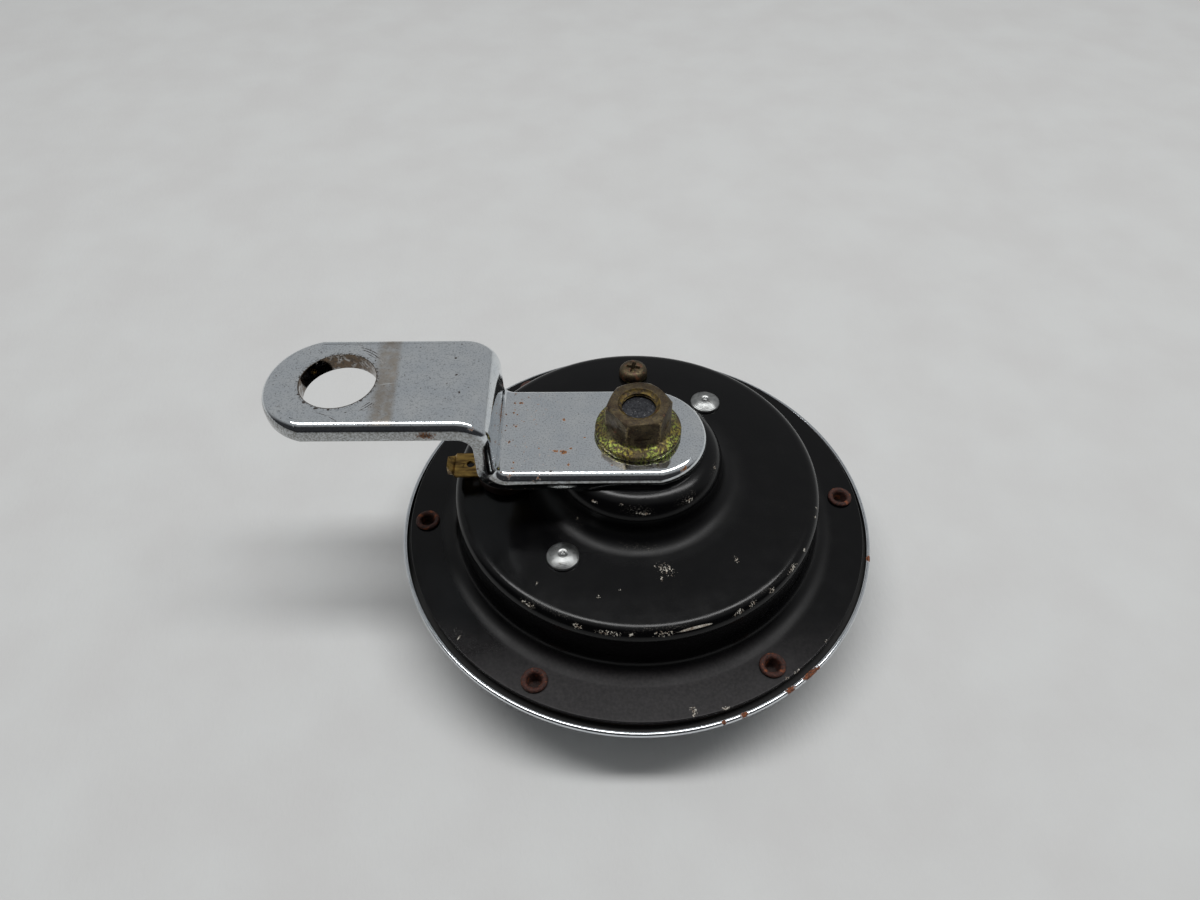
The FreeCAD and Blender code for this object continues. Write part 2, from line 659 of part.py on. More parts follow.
# Yoke plate: holds the coil in the boss and closes the magnet's path.
def make_yoke_plate():
    body = new_body("yoke_plate")
    sketch = new_sketch(body, "XY_Plane", "outline", level=yoke_under)
    length, width, corner = size["yoke_half_length"], size["yoke_half_width"], size["yoke_corner"]
    corners = [
        (-length, -width, corner),
        (length, -width, corner),
        (length, width, corner),
        (-length, width, corner),
    ]
    outline(sketch, corners)
    raised(body, sketch, size["yoke_thickness"])
    hole(body, "core_hole", zero, zero, size["core_radius"] + size["bobbin_play"], drum_ceiling)
    half_lean = (size["yoke_rivet_spread"] - 180) / 2
    ring_of_holes(
        body,
        "rivet_holes",
        size["yoke_rivet_circle"],
        size["yoke_rivet_radius"] + size["rivet_play"],
        drum_ceiling,
        -half_lean,
        2,
        size["yoke_rivet_spread"],
    )
    place(body, angle=size["yoke_rivet_first"] + half_lean)
    return body


# Aluminium rivets with domed heads on the drum.
def make_yoke_rivets():
    body = new_body("yoke_rivets")
    radius, shank = size["yoke_head_radius"], size["yoke_rivet_radius"]
    rim_top = drum_top + size["yoke_head_rim"]
    head_top = drum_top + size["yoke_head_height"]
    crown = size["yoke_head_height"] - size["yoke_head_rim"]
    bow = (radius * radius + crown * crown) / (crown * 2)
    foot_under = yoke_under - size["yoke_foot_height"]
    corners = [
        (zero, foot_under),
        (size["yoke_foot_radius"], foot_under, size["yoke_foot_height"] * 0.6),
        (size["yoke_foot_radius"], yoke_under),
        (shank, yoke_under),
        (shank, drum_top),
        (radius, drum_top),
        (radius, rim_top),
        (zero, head_top),
    ]
    rivet = turned(body, corners, arcs={6: (zero, head_top - bow)}, along=size["yoke_rivet_circle"])
    round_pattern(body, rivet, 2, size["yoke_rivet_spread"])
    place(body, angle=size["yoke_rivet_first"])
    return body


# Pole core: one turned piece with the stud that carries the bracket.
def make_pole_core():
    body = new_body("pole_core")
    core, stud, chamfer = size["core_radius"], size["stud_radius"], size["stud_chamfer"]
    corners = [
        (zero, pole_face),
        (core, pole_face, chamfer),
        (core, boss_ceiling),
        (stud, boss_ceiling),
        (stud, stud_top - chamfer),
        (stud - chamfer, stud_top),
        (zero, stud_top),
    ]
    turned(body, corners)
    return body


def make_coil_bobbin():
    body = new_body("coil_bobbin")
    inside = size["core_radius"] + size["bobbin_play"]
    tube = size["winding_inside"]
    low, high = drum_ceiling + size["bobbin_flange"], boss_ceiling - size["bobbin_flange"]
    corners = [
        (inside, drum_ceiling),
        (size["bobbin_radius"], drum_ceiling),
        (size["bobbin_radius"], low),
        (tube, low),
        (tube, high),
        (size["bobbin_radius"], high),
        (size["bobbin_radius"], boss_ceiling),
        (inside, boss_ceiling),
    ]
    turned(body, corners)
    return body


def make_coil_winding():
    body = new_body("coil_winding")
    inside, outside = size["winding_inside"], size["winding_radius"]
    low, high = drum_ceiling + size["bobbin_flange"], boss_ceiling - size["bobbin_flange"]
    turned(body, [(inside, low), (outside, low), (outside, high), (inside, high)])
    return body


def make_armature():
    body = new_body("armature")
    slug, foot, bore = size["armature_radius"], size["armature_foot_radius"], size["rod_radius"]
    bore_top = diaphragm_top + size["rod_depth"]
    corners = [
        (bore, diaphragm_top),
        (foot, diaphragm_top),
        (foot, foot_top),
        (slug, foot_top),
        (slug, armature_top),
        (zero, armature_top),
        (zero, bore_top),
        (bore, bore_top),
    ]
    turned(body, corners)
    return body


def make_armature_rod():
    body = new_body("armature_rod")
    rod = size["rod_radius"]
    rod_under = nut_under - size["rod_tip"]
    rod_top = diaphragm_top + size["rod_depth"]
    turned(body, [(zero, rod_under), (rod, rod_under), (rod, rod_top), (zero, rod_top)])
    return body


def make_tone_spacer():
    body = new_body("tone_disc_spacer")
    inside = size["rod_radius"] + size["thread_play"]
    outside = size["spacer_radius"]
    corners = [
        (inside, spacer_under),
        (outside, spacer_under),
        (outside, diaphragm_under),
        (inside, diaphragm_under),
    ]
    turned(body, corners)
    return body


def make_tone_disc():
    body = new_body("tone_disc")
    inside = size["rod_radius"] + size["thread_play"]
    flat, rim, rise = size["disc_flat_radius"], size["disc_radius"], size["disc_dish"]
    corners = [
        (inside, disc_under),
        (flat, disc_under),
        (flat + rise * 2, disc_under + rise),
        (rim, disc_under + rise),
        (rim, spacer_under + rise),
        (flat + rise * 2, spacer_under + rise),
        (flat, spacer_under),
        (inside, spacer_under),
    ]
    turned(body, corners)
    return body


def make_tone_nut():
    body = new_body("tone_disc_nut")
    sketch = new_sketch(body, "XY_Plane", "hexagon", level=nut_under)
    hexagon(sketch, size["nut_flats"])
    circle(sketch, zero, zero, size["rod_radius"] + size["thread_play"])
    raised(body, sketch, size["nut_height"])
    return body


def beside_terminal(body):
    place(body, x=-size["terminal_circle"], angle=set_angle)


# Terminal insulator: washer on the drum with a spigot down through the housing.
def make_terminal_insulator():
    body = new_body("terminal_insulator")
    inside = size["terminal_rivet_radius"] + size["terminal_play"]
    top = drum_top + size["insulator_height"]
    corners = [
        (inside, drum_ceiling),
        (size["bush_radius"], drum_ceiling),
        (size["bush_radius"], drum_top),
        (size["insulator_radius"], drum_top),
        (size["insulator_radius"], top),
        (inside, top),
    ]
    turned(body, corners)
    place(body, x=-size["terminal_circle"])
    return body


# Spade terminal: round seat at the rivet, blade towards -X with cut corners.
def make_spade_terminal():
    body = new_body("spade_terminal")
    level = drum_top + size["insulator_height"]
    seat, half, cut = size["blade_seat_radius"], size["blade_width"] / 2, size["blade_chamfer"]
    tip = -size["blade_reach"]
    neck = -root(seat * seat - half * half)
    sketch = new_sketch(body, "XY_Plane", "outline", level=level)
    corners = [
        (neck, half),
        (tip + cut, half),
        (tip, half - cut),
        (tip, cut - half),
        (tip + cut, -half),
        (neck, -half),
        (zero, -seat),
        (seat, zero),
        (zero, seat),
    ]
    centre = (zero, zero)
    outline(sketch, corners, arcs={5: centre, 6: centre, 7: centre, 8: centre})
    circle(sketch, zero, zero, size["terminal_rivet_radius"] + size["terminal_play"])
    circle(sketch, -size["blade_hole_reach"], zero, size["blade_hole_radius"])
    raised(body, sketch, size["blade_thickness"])
    place(body, x=-size["terminal_circle"])
    return body


def make_terminal_rivet():
    body = new_body("terminal_rivet")
    seat = drum_top + size["insulator_height"] + size["blade_thickness"]
    head_top = seat + size["terminal_head_height"]
    foot_under = carrier_under - size["terminal_foot_height"]
    shank = size["terminal_rivet_radius"]
    corners = [
        (zero, foot_under),
        (size["terminal_foot_radius"], foot_under, size["terminal_foot_height"] * 0.6),
        (size["terminal_foot_radius"], carrier_under),
        (shank, carrier_under),
        (shank, seat),
        (size["terminal_head_radius"], seat),
        (size["terminal_head_radius"], head_top, size["terminal_head_height"] * 0.75),
        (zero, head_top),
    ]
    turned(body, corners)
    place(body, x=-size["terminal_circle"])
    return body


def square(sketch, half):
    outline(sketch, [(-half, -half), (half, -half), (half, half), (-half, half)])


# Contact block: moulded spacer under the drum top, its spigot keeps the arm off the rivet.
def make_contact_block():
    body = new_body("contact_block")
    bore = size["terminal_rivet_radius"] + size["terminal_play"]
    block = new_sketch(body, "XY_Plane", "block", level=block_under)
    square(block, size["block_half"])
    raised(body, block, size["block_height"])
    spigot = new_sketch(body, "XY_Plane", "spigot", level=insulator_top)
    circle(spigot, zero, zero, size["spigot_radius"])
    raised(body, spigot, block_under - insulator_top)
    hole(body, "bore", zero, zero, bore, drum_ceiling)
    beside_terminal(body)
    return body


def make_contact_insulator():
    body = new_body("contact_insulator")
    plate = new_sketch(body, "XY_Plane", "plate", level=carrier_top)
    square(plate, size["block_half"])
    circle(plate, zero, zero, size["terminal_rivet_radius"] + size["terminal_play"])
    raised(body, plate, insulator_top - carrier_top)
    beside_terminal(body)
    return body


# Contact arm: spring blade with a lug over the push pin and a solder tag.
def make_contact_arm():
    body = new_body("contact_arm")
    sketch = new_sketch(body, "XY_Plane", "outline", level=arm_under)
    tail, tip, half = -size["arm_tail"], size["arm_length"], size["arm_half_width"]
    tag = size["arm_tag_half"]
    corners = [
        (tail, -half),
        (-tag, -half),
        (-tag, -size["arm_tag_reach"]),
        (tag, -size["arm_tag_reach"]),
        (tag, -half),
        (size["arm_lug_start"], -half),
        (size["arm_lug_start"], -size["arm_lug_reach"]),
        (tip, -size["arm_lug_reach"]),
        (tip, half),
        (tail, half),
    ]
    outline(sketch, corners)
    circle(sketch, zero, zero, size["arm_hole_radius"])
    raised(body, sketch, size["arm_thickness"])
    beside_terminal(body)
    return body


# Fixed contact carrier: strip from the terminal rivet to the adjusting screw.
def make_contact_carrier():
    body = new_body("fixed_contact_carrier")
    sketch = new_sketch(body, "XY_Plane", "outline", level=carrier_under)
    tail, half, end = -size["block_half"], size["carrier_half_width"], size["carrier_end_radius"]
    screw_distance = size["screw_distance"]
    neck = screw_distance - root(end * end - half * half)
    corners = [
        (tail, -half),
        (neck, -half),
        (screw_distance, -end),
        (screw_distance + end, zero),
        (screw_distance, end),
        (neck, half),
        (tail, half),
    ]
    centre = (screw_distance, zero)
    outline(sketch, corners, arcs={1: centre, 2: centre, 3: centre, 4: centre})
    circle(sketch, zero, zero, size["terminal_rivet_radius"] + size["terminal_play"])
    circle(sketch, screw_distance, zero, size["screw_radius"] + size["screw_play"])
    raised(body, sketch, size["carrier_thickness"])
    beside_terminal(body)
    return body


def make_contact(name, level):
    body = new_body(name)
    sketch = new_sketch(body, "XY_Plane", "button", level=level)
    circle(sketch, size["contact_distance"], zero, size["contact_radius"])
    raised(body, sketch, size["contact_height"])
    beside_terminal(body)
    return body


# Push pin: stands on the armature's foot and lifts the contact arm's lug.
def make_push_pin():
    body = new_body("push_pin")
    sketch = new_sketch(body, "XY_Plane", "pin", level=foot_top)
    circle(sketch, size["pin_along"], -size["pin_inset"], size["pin_radius"])
    raised(body, sketch, arm_under - size["pin_gap"] - foot_top)
    beside_terminal(body)
    return body


# Adjusting screw: pan head with a cross recess on the drum, its thread in the carrier.
def make_adjusting_screw():
    body = new_body("adjusting_screw")
    seat = drum_top + size["screw_seat_gap"]
    head_top = seat + size["screw_head_height"]
    corners = [
        (zero, carrier_under - size["screw_tip"]),
        (size["screw_radius"], carrier_under - size["screw_tip"]),
        (size["screw_radius"], seat),
        (size["screw_head_radius"], seat),
        (size["screw_head_radius"], head_top, size["screw_head_rounding"]),
        (zero, head_top),
    ]
    turned(body, corners)
    long, short = size["recess_reach"], size["recess_half_width"]
    cross = new_sketch(body, "XY_Plane", "cross", level=head_top)
    corners = [
        (long, -short),
        (long, short),
        (short, short),
        (short, long),
        (-short, long),
        (-short, short),
        (-long, short),
        (-long, -short),
        (-short, -short),
        (-short, -long),
        (short, -long),
        (short, -short),
    ]
    outline(cross, corners)
    before = body.Shape.Volume
    recess = body.newObject("PartDesign::Pocket", "cross_recess")
    recess.Profile = cross
    bind(recess, "Length", size["recess_depth"])
    doc.recompute()
    if body.Shape.Volume >= before:
        raise RuntimeError("the cross recess cuts nothing")
    place(body, y=size["screw_circle"])
    return body


def rounded_path(points):
    """Straight runs joined by tangent arcs, each as large as its two runs allow."""
    edges = []
    start = points[0]
    for before, corner, after in zip(points, points[1:], points[2:]):
        back = before - corner
        ahead = after - corner
        turn = math.pi - back.getAngle(ahead)
        trim = 0.45 * min(back.Length, ahead.Length)
        radius = trim / math.tan(turn / 2)
        back.normalize()
        ahead.normalize()
        middle = back + ahead
        middle.normalize()
        centre = corner + middle * math.hypot(trim, radius)
        arc_start = corner + back * trim
        arc_end = corner + ahead * trim
        edges.append(Part.makeLine(start, arc_start))
        edges.append(Part.Arc(arc_start, centre - middle * radius, arc_end).toShape())
        start = arc_end
    edges.append(Part.makeLine(start, points[-1]))
    return Part.Wire(edges)


# Coil leads: enamelled wire from the winding down past the yoke plate.
def make_lead(name, side, end, end_level):
    """side is the angle at which the lead leaves the coil, end is where it is soldered."""
    angle = math.radians(side.value)
    outward = FreeCAD.Vector(math.cos(angle), math.sin(angle), 0)
    exit_level = (drum_ceiling + size["bobbin_flange"] + size["lead_exit_height"]).value
    run_level = (drum_ceiling - size["lead_run_depth"]).value
    drop = outward * size["lead_drop_radius"].value
    points = [
        outward * size["winding_radius"].value + FreeCAD.Vector(0, 0, exit_level),
        drop + FreeCAD.Vector(0, 0, exit_level),
        drop + FreeCAD.Vector(0, 0, run_level),
        end + FreeCAD.Vector(0, 0, run_level),
        end + FreeCAD.Vector(0, 0, end_level.value),
    ]
    path = rounded_path(points)
    section = Part.Wire(Part.makeCircle(size["lead_radius"].value, points[0], outward))
    lead = doc.addObject("Part::Feature", name)
    lead.Label = name
    lead.Shape = path.makePipeShell([section], True, False)
    lead.Placement = FreeCAD.Placement()
    return lead


def make_leads():
    half_lean = (size["yoke_rivet_spread"] - 180) / 2
    across = size["yoke_rivet_first"] + half_lean + 90
    chord = math.radians(set_angle.value)
    tag_reach = (size["arm_tag_reach"] - size["arm_tag_half"]).value
    tag = FreeCAD.Vector(math.sin(chord), -math.cos(chord), 0) * tag_reach
    tag.x -= size["terminal_circle"].value
    foot_angle = math.radians((size["yoke_rivet_first"] + size["yoke_rivet_spread"]).value)
    foot = FreeCAD.Vector(math.cos(foot_angle), math.sin(foot_angle), 0) * size["yoke_rivet_circle"].value
    foot_under = yoke_under - size["yoke_foot_height"]
    return [
        make_lead("contact_lead", across, tag, arm_top + size["pin_gap"]),
        make_lead("earth_lead", across + 180, foot, foot_under),
    ]


# Bracket: flat strip set up by two bends, round at both ends.
def make_mounting_bracket():
    body = new_body("mounting_bracket")
    thick, inner = size["bracket_thickness"], size["bend_radius"]
    half = size["bracket_width"] / 2
    step = -size["bracket_step"]
    hole_x = -size["bracket_hole_distance"]
    lower_middle, lower_radius = size["lower_end_shift"], size["lower_end_radius"]
    upper_middle, upper_radius = hole_x - size["upper_end_shift"], size["upper_end_radius"]
    near_end, far_end = lower_middle + lower_radius, upper_middle - upper_radius
    profile = new_sketch(body, "XZ_Plane", "side_view")
    corners = [
        (near_end, boss_top),
        (near_end, bracket_top),
        (step, bracket_top, inner),
        (step, upper_leg_top, inner + thick),
        (far_end, upper_leg_top),
        (far_end, upper_leg_under),
        (step - thick, upper_leg_under, inner),
        (step - thick, boss_top, inner + thick),
    ]
    outline(profile, corners)
    strip = raised(body, profile, size["bracket_width"])
    strip.SideType = "Symmetric"
    doc.recompute()
    round_end(body, "stud_end", lower_middle, lower_radius, half, 1)
    round_end(body, "hole_end", upper_middle, upper_radius, half, -1)
    stud_hole = size["stud_radius"] + size["stud_play"]
    hole(body, "stud_hole", zero, zero, stud_hole, bracket_top)
    hole(body, "mounting_hole", hole_x, zero, size["bracket_hole_radius"], upper_leg_top)
    return body


def round_end(body, name, centre_x, radius, half, side):
    """Trims an end of the strip to an arc about centre_x. side is 1 for +X, -1 for -X."""
    margin = as_size(1)
    neck = centre_x + root(radius * radius - half * half) * side
    far = centre_x + (radius + margin) * side
    sketch = new_sketch(body, "XY_Plane", name)
    corners = [
        (neck, -half),
        (centre_x + radius * side, zero),
        (neck, half),
        (neck, half + margin),
        (far, half + margin),
        (far, -half - margin),
        (neck, -half - margin),
    ]
    centre = (centre_x, zero)
    outline(sketch, corners, arcs={0: centre, 1: centre})
    cut_through(body, sketch)


# Flange nut on the stud, left a little turned.
def make_flange_nut():
    body = new_body("flange_nut")
    bore = size["stud_radius"] + size["thread_play"]
    rim_top = bracket_top + size["flange_nut_rim"]
    cone_top = rim_top + size["flange_nut_cone"]
    half_flats = size["flange_nut_flats"] / 2
    chamfer = size["flange_nut_chamfer"]
    corner = size["flange_nut_flats"] / root(as_size(3))
    corners = [
        (bore, bracket_top),
        (size["flange_nut_radius"], bracket_top),
        (size["flange_nut_radius"], rim_top, size["flange_nut_rim"] * 0.6),
        (half_flats + chamfer, rim_top),
        (half_flats, cone_top),
        (bore, cone_top),
    ]
    turned(body, corners)
    sketch = new_sketch(body, "XY_Plane", "hexagon", level=rim_top)
    hexagon(sketch, size["flange_nut_flats"])
    circle(sketch, zero, zero, bore)
    raised(body, sketch, nut_top - rim_top)
    bevel = new_sketch(body, "XZ_Plane", "bevel")
    outside = corner + 1
    rise = (outside - half_flats) * chamfer
    corners = [
        (half_flats, nut_top),
        (outside, nut_top - rise),
        (outside, nut_top + 1),
        (half_flats, nut_top + 1),
    ]
    outline(bevel, corners)
    before = body.Shape.Volume
    groove = body.newObject("PartDesign::Groove", "flange_nut_bevel_cut")
    groove.Profile = bevel
    groove.ReferenceAxis = (bevel, ["V_Axis"])
    groove.Angle = 360
    doc.recompute()
    if body.Shape.Volume >= before:
        raise RuntimeError("the nut's bevel cuts nothing")
    place(body, angle=size["flange_nut_turn"])
    return body


nodes = [
    make_front_cover(),
    make_gasket("front_gasket", ledge_top),
    make_diaphragm(),
    make_gasket("rear_gasket", diaphragm_top),
    make_rear_housing(),
    make_flange_rivets(),
    make_yoke_plate(),
    make_yoke_rivets(),
    make_pole_core(),
    make_coil_bobbin(),
    make_coil_winding(),
    make_armature(),
    make_armature_rod(),
    make_tone_spacer(),
    make_tone_disc(),
    make_tone_nut(),
    make_terminal_insulator(),
    make_spade_terminal(),
    make_terminal_rivet(),
    make_contact_block(),
    make_contact_insulator(),
    make_contact_arm(),
    make_contact_carrier(),
    make_contact("fixed_contact", carrier_top),
    make_contact("moving_contact", arm_under - size["contact_height"]),
    make_push_pin(),
    make_adjusting_screw(),
    *make_leads(),
    make_mounting_bracket(),
    make_flange_nut(),
]
doc.recompute()

faults = [item.Name for item in doc.Objects if "Invalid" in item.State or "Error" in item.State]
faults += [node.Label for node in nodes if node.Shape.isNull() or not node.Shape.isValid()]
if faults:
    raise RuntimeError(f"these did not build: {faults}")

os.makedirs("parts", exist_ok=True)
for node in nodes:
    node.Shape.exportStep(f"parts/{node.Label}.step")
    box = node.Shape.BoundBox
    print(f"{node.Label:24s} solids {len(node.Shape.Solids)}  volume {node.Shape.Volume:9.1f}")
    print(f"    from ({box.XMin:.2f}, {box.YMin:.2f}, {box.ZMin:.2f})")
    print(f"    to ({box.XMax:.2f}, {box.YMax:.2f}, {box.ZMax:.2f})")
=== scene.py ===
import math

import bpy
from mathutils import Matrix, Vector


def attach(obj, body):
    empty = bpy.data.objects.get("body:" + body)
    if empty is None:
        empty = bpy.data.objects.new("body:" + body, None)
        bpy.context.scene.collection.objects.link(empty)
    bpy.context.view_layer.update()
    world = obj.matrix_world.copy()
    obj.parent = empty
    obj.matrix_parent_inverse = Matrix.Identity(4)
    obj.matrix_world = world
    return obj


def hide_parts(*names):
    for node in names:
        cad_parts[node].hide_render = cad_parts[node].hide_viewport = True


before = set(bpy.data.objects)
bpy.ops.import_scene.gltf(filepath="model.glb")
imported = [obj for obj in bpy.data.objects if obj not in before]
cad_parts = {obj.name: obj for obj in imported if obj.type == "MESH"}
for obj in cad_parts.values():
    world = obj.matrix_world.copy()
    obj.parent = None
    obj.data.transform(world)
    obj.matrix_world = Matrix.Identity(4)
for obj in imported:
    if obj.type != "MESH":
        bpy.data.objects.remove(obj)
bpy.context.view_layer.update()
print("frame loaded")

mm = 0.001  # every size below is in millimetres, the scene is in metres
closeBy = 0.002  # points nearer than this are merged


# Modelling

def clearSelection():
    if bpy.context.object and bpy.context.object.mode != "OBJECT":
        bpy.ops.object.mode_set(mode="OBJECT")
    bpy.ops.object.select_all(action="DESELECT")


def activate(piece):
    clearSelection()
    piece.select_set(True)
    bpy.context.view_layer.objects.active = piece


def startPiece(name):
    piece = bpy.context.object
    piece.name = name
    piece.data.name = name
    return piece


def editAll(piece):
    activate(piece)
    bpy.ops.object.mode_set(mode="EDIT")
    bpy.ops.mesh.select_mode(type="VERT")
    bpy.ops.mesh.select_all(action="SELECT")


def selectVertices(piece, test):  # test gets each vertex's place in millimetres
    editAll(piece)
    bpy.ops.mesh.select_all(action="DESELECT")
    bpy.ops.object.mode_set(mode="OBJECT")
    for vertex in piece.data.vertices:
        vertex.select = test((piece.matrix_world @ vertex.co) / mm)
    bpy.ops.object.mode_set(mode="EDIT")


def leaveEdit():
    bpy.ops.object.mode_set(mode="OBJECT")


def roundCorners(corners, guard=0.2, stepDegrees=11):
    # corners are (r, z) or (r, z, rounding); guard adds a point beside each arc so the flats stay flat in shading
    points = []
    for number, corner in enumerate(corners):
        here = Vector(corner[:2])
        if len(corner) == 2:
            points.append(here)
            continue
        back = (Vector(corners[number - 1][:2]) - here).normalized()
        ahead = (Vector(corners[(number + 1) % len(corners)][:2]) - here).normalized()
        opening = back.angle(ahead)
        reach = corner[2] / math.tan(opening / 2)
        middle = here + (back + ahead).normalized() * (corner[2] / math.sin(opening / 2))
        start = here + back * reach - middle
        end = here + ahead * reach - middle
        turn = math.pi - opening
        side = 1 if start.x * end.y - start.y * end.x > 0 else -1
        steps = max(2, math.ceil(math.degrees(turn) / stepDegrees))
        if guard:
            points.append(here + back * (reach + guard))
        for step in range(steps + 1):
            angle = side * turn * step / steps
            points.append(middle + Matrix.Rotation(angle, 2) @ start)
        if guard:
            points.append(here + ahead * (reach + guard))
    return points


def distanceToLine(spot, points):
    spot = Vector(spot)
    nearest = 1e9
    for start, end in zip(points, points[1:]):
        step = Vector(end) - Vector(start)
        part = min(1, max(0, (spot - Vector(start)).dot(step) / step.length_squared))
        nearest = min(nearest, (Vector(start) + step * part - spot).length)
    return nearest


def arcPoints(centre, start, end, steps):  # points after start, up to end, on the arc about centre
    centre, start, end = Vector(centre), Vector(start), Vector(end)
    first, last = start - centre, end - centre
    turn = first.angle_signed(last)
    return [centre + Matrix.Rotation(-turn * step / steps, 2) @ first for step in range(1, steps + 1)]


def drawLine(name, points):  # a row of joined edges in the XZ plane, pulled out point by point
    clearSelection()
    first = points[0]
    bpy.ops.mesh.primitive_plane_add(size=0.1 * mm, location=(first[0] * mm, 0, first[1] * mm))
    piece = startPiece(name)
    editAll(piece)
    bpy.ops.mesh.merge(type="CENTER")
    for before, after in zip(points, points[1:]):
        step = ((after[0] - before[0]) * mm, 0, (after[1] - before[1]) * mm)
        bpy.ops.mesh.extrude_region_move(TRANSFORM_OT_translate={"value": step})
    leaveEdit()
    return piece


def tidyMesh(piece):
    editAll(piece)
    bpy.ops.mesh.remove_doubles(threshold=closeBy * mm)
    bpy.ops.mesh.normals_make_consistent(inside=False)
    leaveEdit()


def spinRound(name, points, steps, middle=(0, 0), closed=True):
    # points run (radius, height); closed joins the last to the first
    row = list(points) + ([points[0]] if closed else [])
    row = [(point[0] + middle[0], point[1]) for point in row]
    piece = drawLine(name, row)
    if middle[1]:
        editAll(piece)
        bpy.ops.transform.translate(value=(0, middle[1] * mm, 0))
        leaveEdit()
    editAll(piece)
    centre = (middle[0] * mm, middle[1] * mm, 0)
    bpy.ops.mesh.spin(steps=steps, angle=math.tau, center=centre, axis=(0, 0, 1))
    leaveEdit()
    tidyMesh(piece)
    return piece


def cylinder(name, radius, low, high, x=0.0, y=0.0, sides=48):
    clearSelection()
    place = (x * mm, y * mm, (low + high) / 2 * mm)
    bpy.ops.mesh.primitive_cylinder_add(vertices=sides, radius=radius * mm, depth=(high - low) * mm, location=place)
    return startPiece(name)


def block(name, low, high):
    clearSelection()
    centre = [(a + b) / 2 * mm for a, b in zip(low, high)]
    sizes = [(b - a) * mm for a, b in zip(low, high)]
    bpy.ops.mesh.primitive_cube_add(size=1, location=centre, scale=sizes)
    return startPiece(name)


def applyPlace(piece):
    activate(piece)
    bpy.ops.object.transform_apply(location=True, rotation=True, scale=True)


def combine(piece, other, operation="DIFFERENCE"):
    activate(piece)
    modifier = piece.modifiers.new("cut", "BOOLEAN")
    modifier.object = other
    modifier.operation = operation
    modifier.solver = "EXACT"
    bpy.ops.object.modifier_apply(modifier=modifier.name)
    bpy.data.objects.remove(other)
    editAll(piece)
    bpy.ops.mesh.remove_doubles(threshold=closeBy * mm)
    leaveEdit()


def bevelEdges(piece, width, segments, angle):
    activate(piece)
    modifier = piece.modifiers.new("edges", "BEVEL")
    modifier.width = width * mm
    modifier.segments = segments
    modifier.limit_method = "ANGLE"
    modifier.angle_limit = math.radians(angle)
    modifier.miter_outer = "MITER_ARC"
    bpy.ops.object.modifier_apply(modifier=modifier.name)


def copyRound(piece, count, first=0.0):
    # copies about the Z axis, each with its own mesh; the piece itself becomes the first
    copies = [piece]
    applyPlace(piece)
    for number in range(1, count):
        clearSelection()
        copy = piece.copy()
        copy.data = piece.data.copy()
        bpy.context.scene.collection.objects.link(copy)
        copies.append(copy)
    for number, copy in enumerate(copies):
        copy.rotation_euler.z = math.radians(first + 360.0 * number / count)
        applyPlace(copy)
    return copies


def joinPieces(pieces, name):
    clearSelection()
    for piece in pieces:
        piece.select_set(True)
    bpy.context.view_layer.objects.active = pieces[0]
    bpy.ops.object.join()
    return startPiece(name)


def settle(piece, body, node, material, angle=32.0):
    applyPlace(piece)
    bpy.ops.object.shade_smooth_by_angle(angle=math.radians(angle))
    piece.data.materials.clear()
    piece.data.materials.append(material)
    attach(piece, body)
    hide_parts(node)
    print("made", piece.name, len(piece.data.polygons), "faces")


# Materials

def linearColour(code):
    channels = [int(code[place:place + 2], 16) / 255 for place in (1, 3, 5)]
    return [c / 12.92 if c <= 0.04045 else ((c + 0.055) / 1.055) ** 2.4 for c in channels] + [1.0]


def addNode(material, kind, inputs, take=0, **settings):
    tree = material.node_tree
    node = tree.nodes.new("ShaderNode" + kind)
    for name, value in settings.items():
        setattr(node, name, value)
    for key, value in inputs.items():
        if isinstance(value, bpy.types.NodeSocket):
            tree.links.new(value, node.inputs[key])
        else:
            node.inputs[key].default_value = value
    return node.outputs[take] if node.outputs else node


def newMaterial(name):  # with the Object coordinates in millimetres
    material = bpy.data.materials.new(name)
    material.use_nodes = True
    material.node_tree.nodes.clear()
    place = addNode(material, "TexCoord", {}, take="Object")
    return material, addNode(material, "VectorMath", {0: place, "Scale": 1 / mm}, operation="SCALE")


def axisOf(material, place, axis):
    return addNode(material, "SeparateXYZ", {"Vector": place}, take=axis)


def calculate(material, operation, *values):
    return addNode(material, "Math", dict(enumerate(values)), operation=operation)


def ramp(material, value, low, high, bottom=0.0, top=1.0):  # low to high comes out as bottom to top
    inputs = {"Value": value, "From Min": low, "From Max": high, "To Min": bottom, "To Max": top}
    return addNode(material, "MapRange", inputs)


def waves(material, distance, pitch, low=-1.0, high=1.0):  # up and down once every pitch millimetres
    turns = calculate(material, "MULTIPLY", distance, math.tau / pitch)
    return ramp(material, calculate(material, "SINE", turns), low, high)


def mottle(material, place, size, detail=3.0, low=0.35, high=0.65, stretch=(1, 1, 1)):
    # soft blotches of about that size, from 0 to 1
    stretched = addNode(material, "VectorMath", {0: place, 1: stretch}, operation="MULTIPLY")
    noise = addNode(material, "TexNoise", {"Vector": stretched, "Scale": 1 / size, "Detail": detail})
    return ramp(material, noise, low, high)


def paint(material, amount, under, over):  # colours are hex codes or sockets
    under, over = [linearColour(c) if isinstance(c, str) else c for c in (under, over)]
    return addNode(material, "Mix", {0: amount, 6: under, 7: over}, take=2, data_type="RGBA")


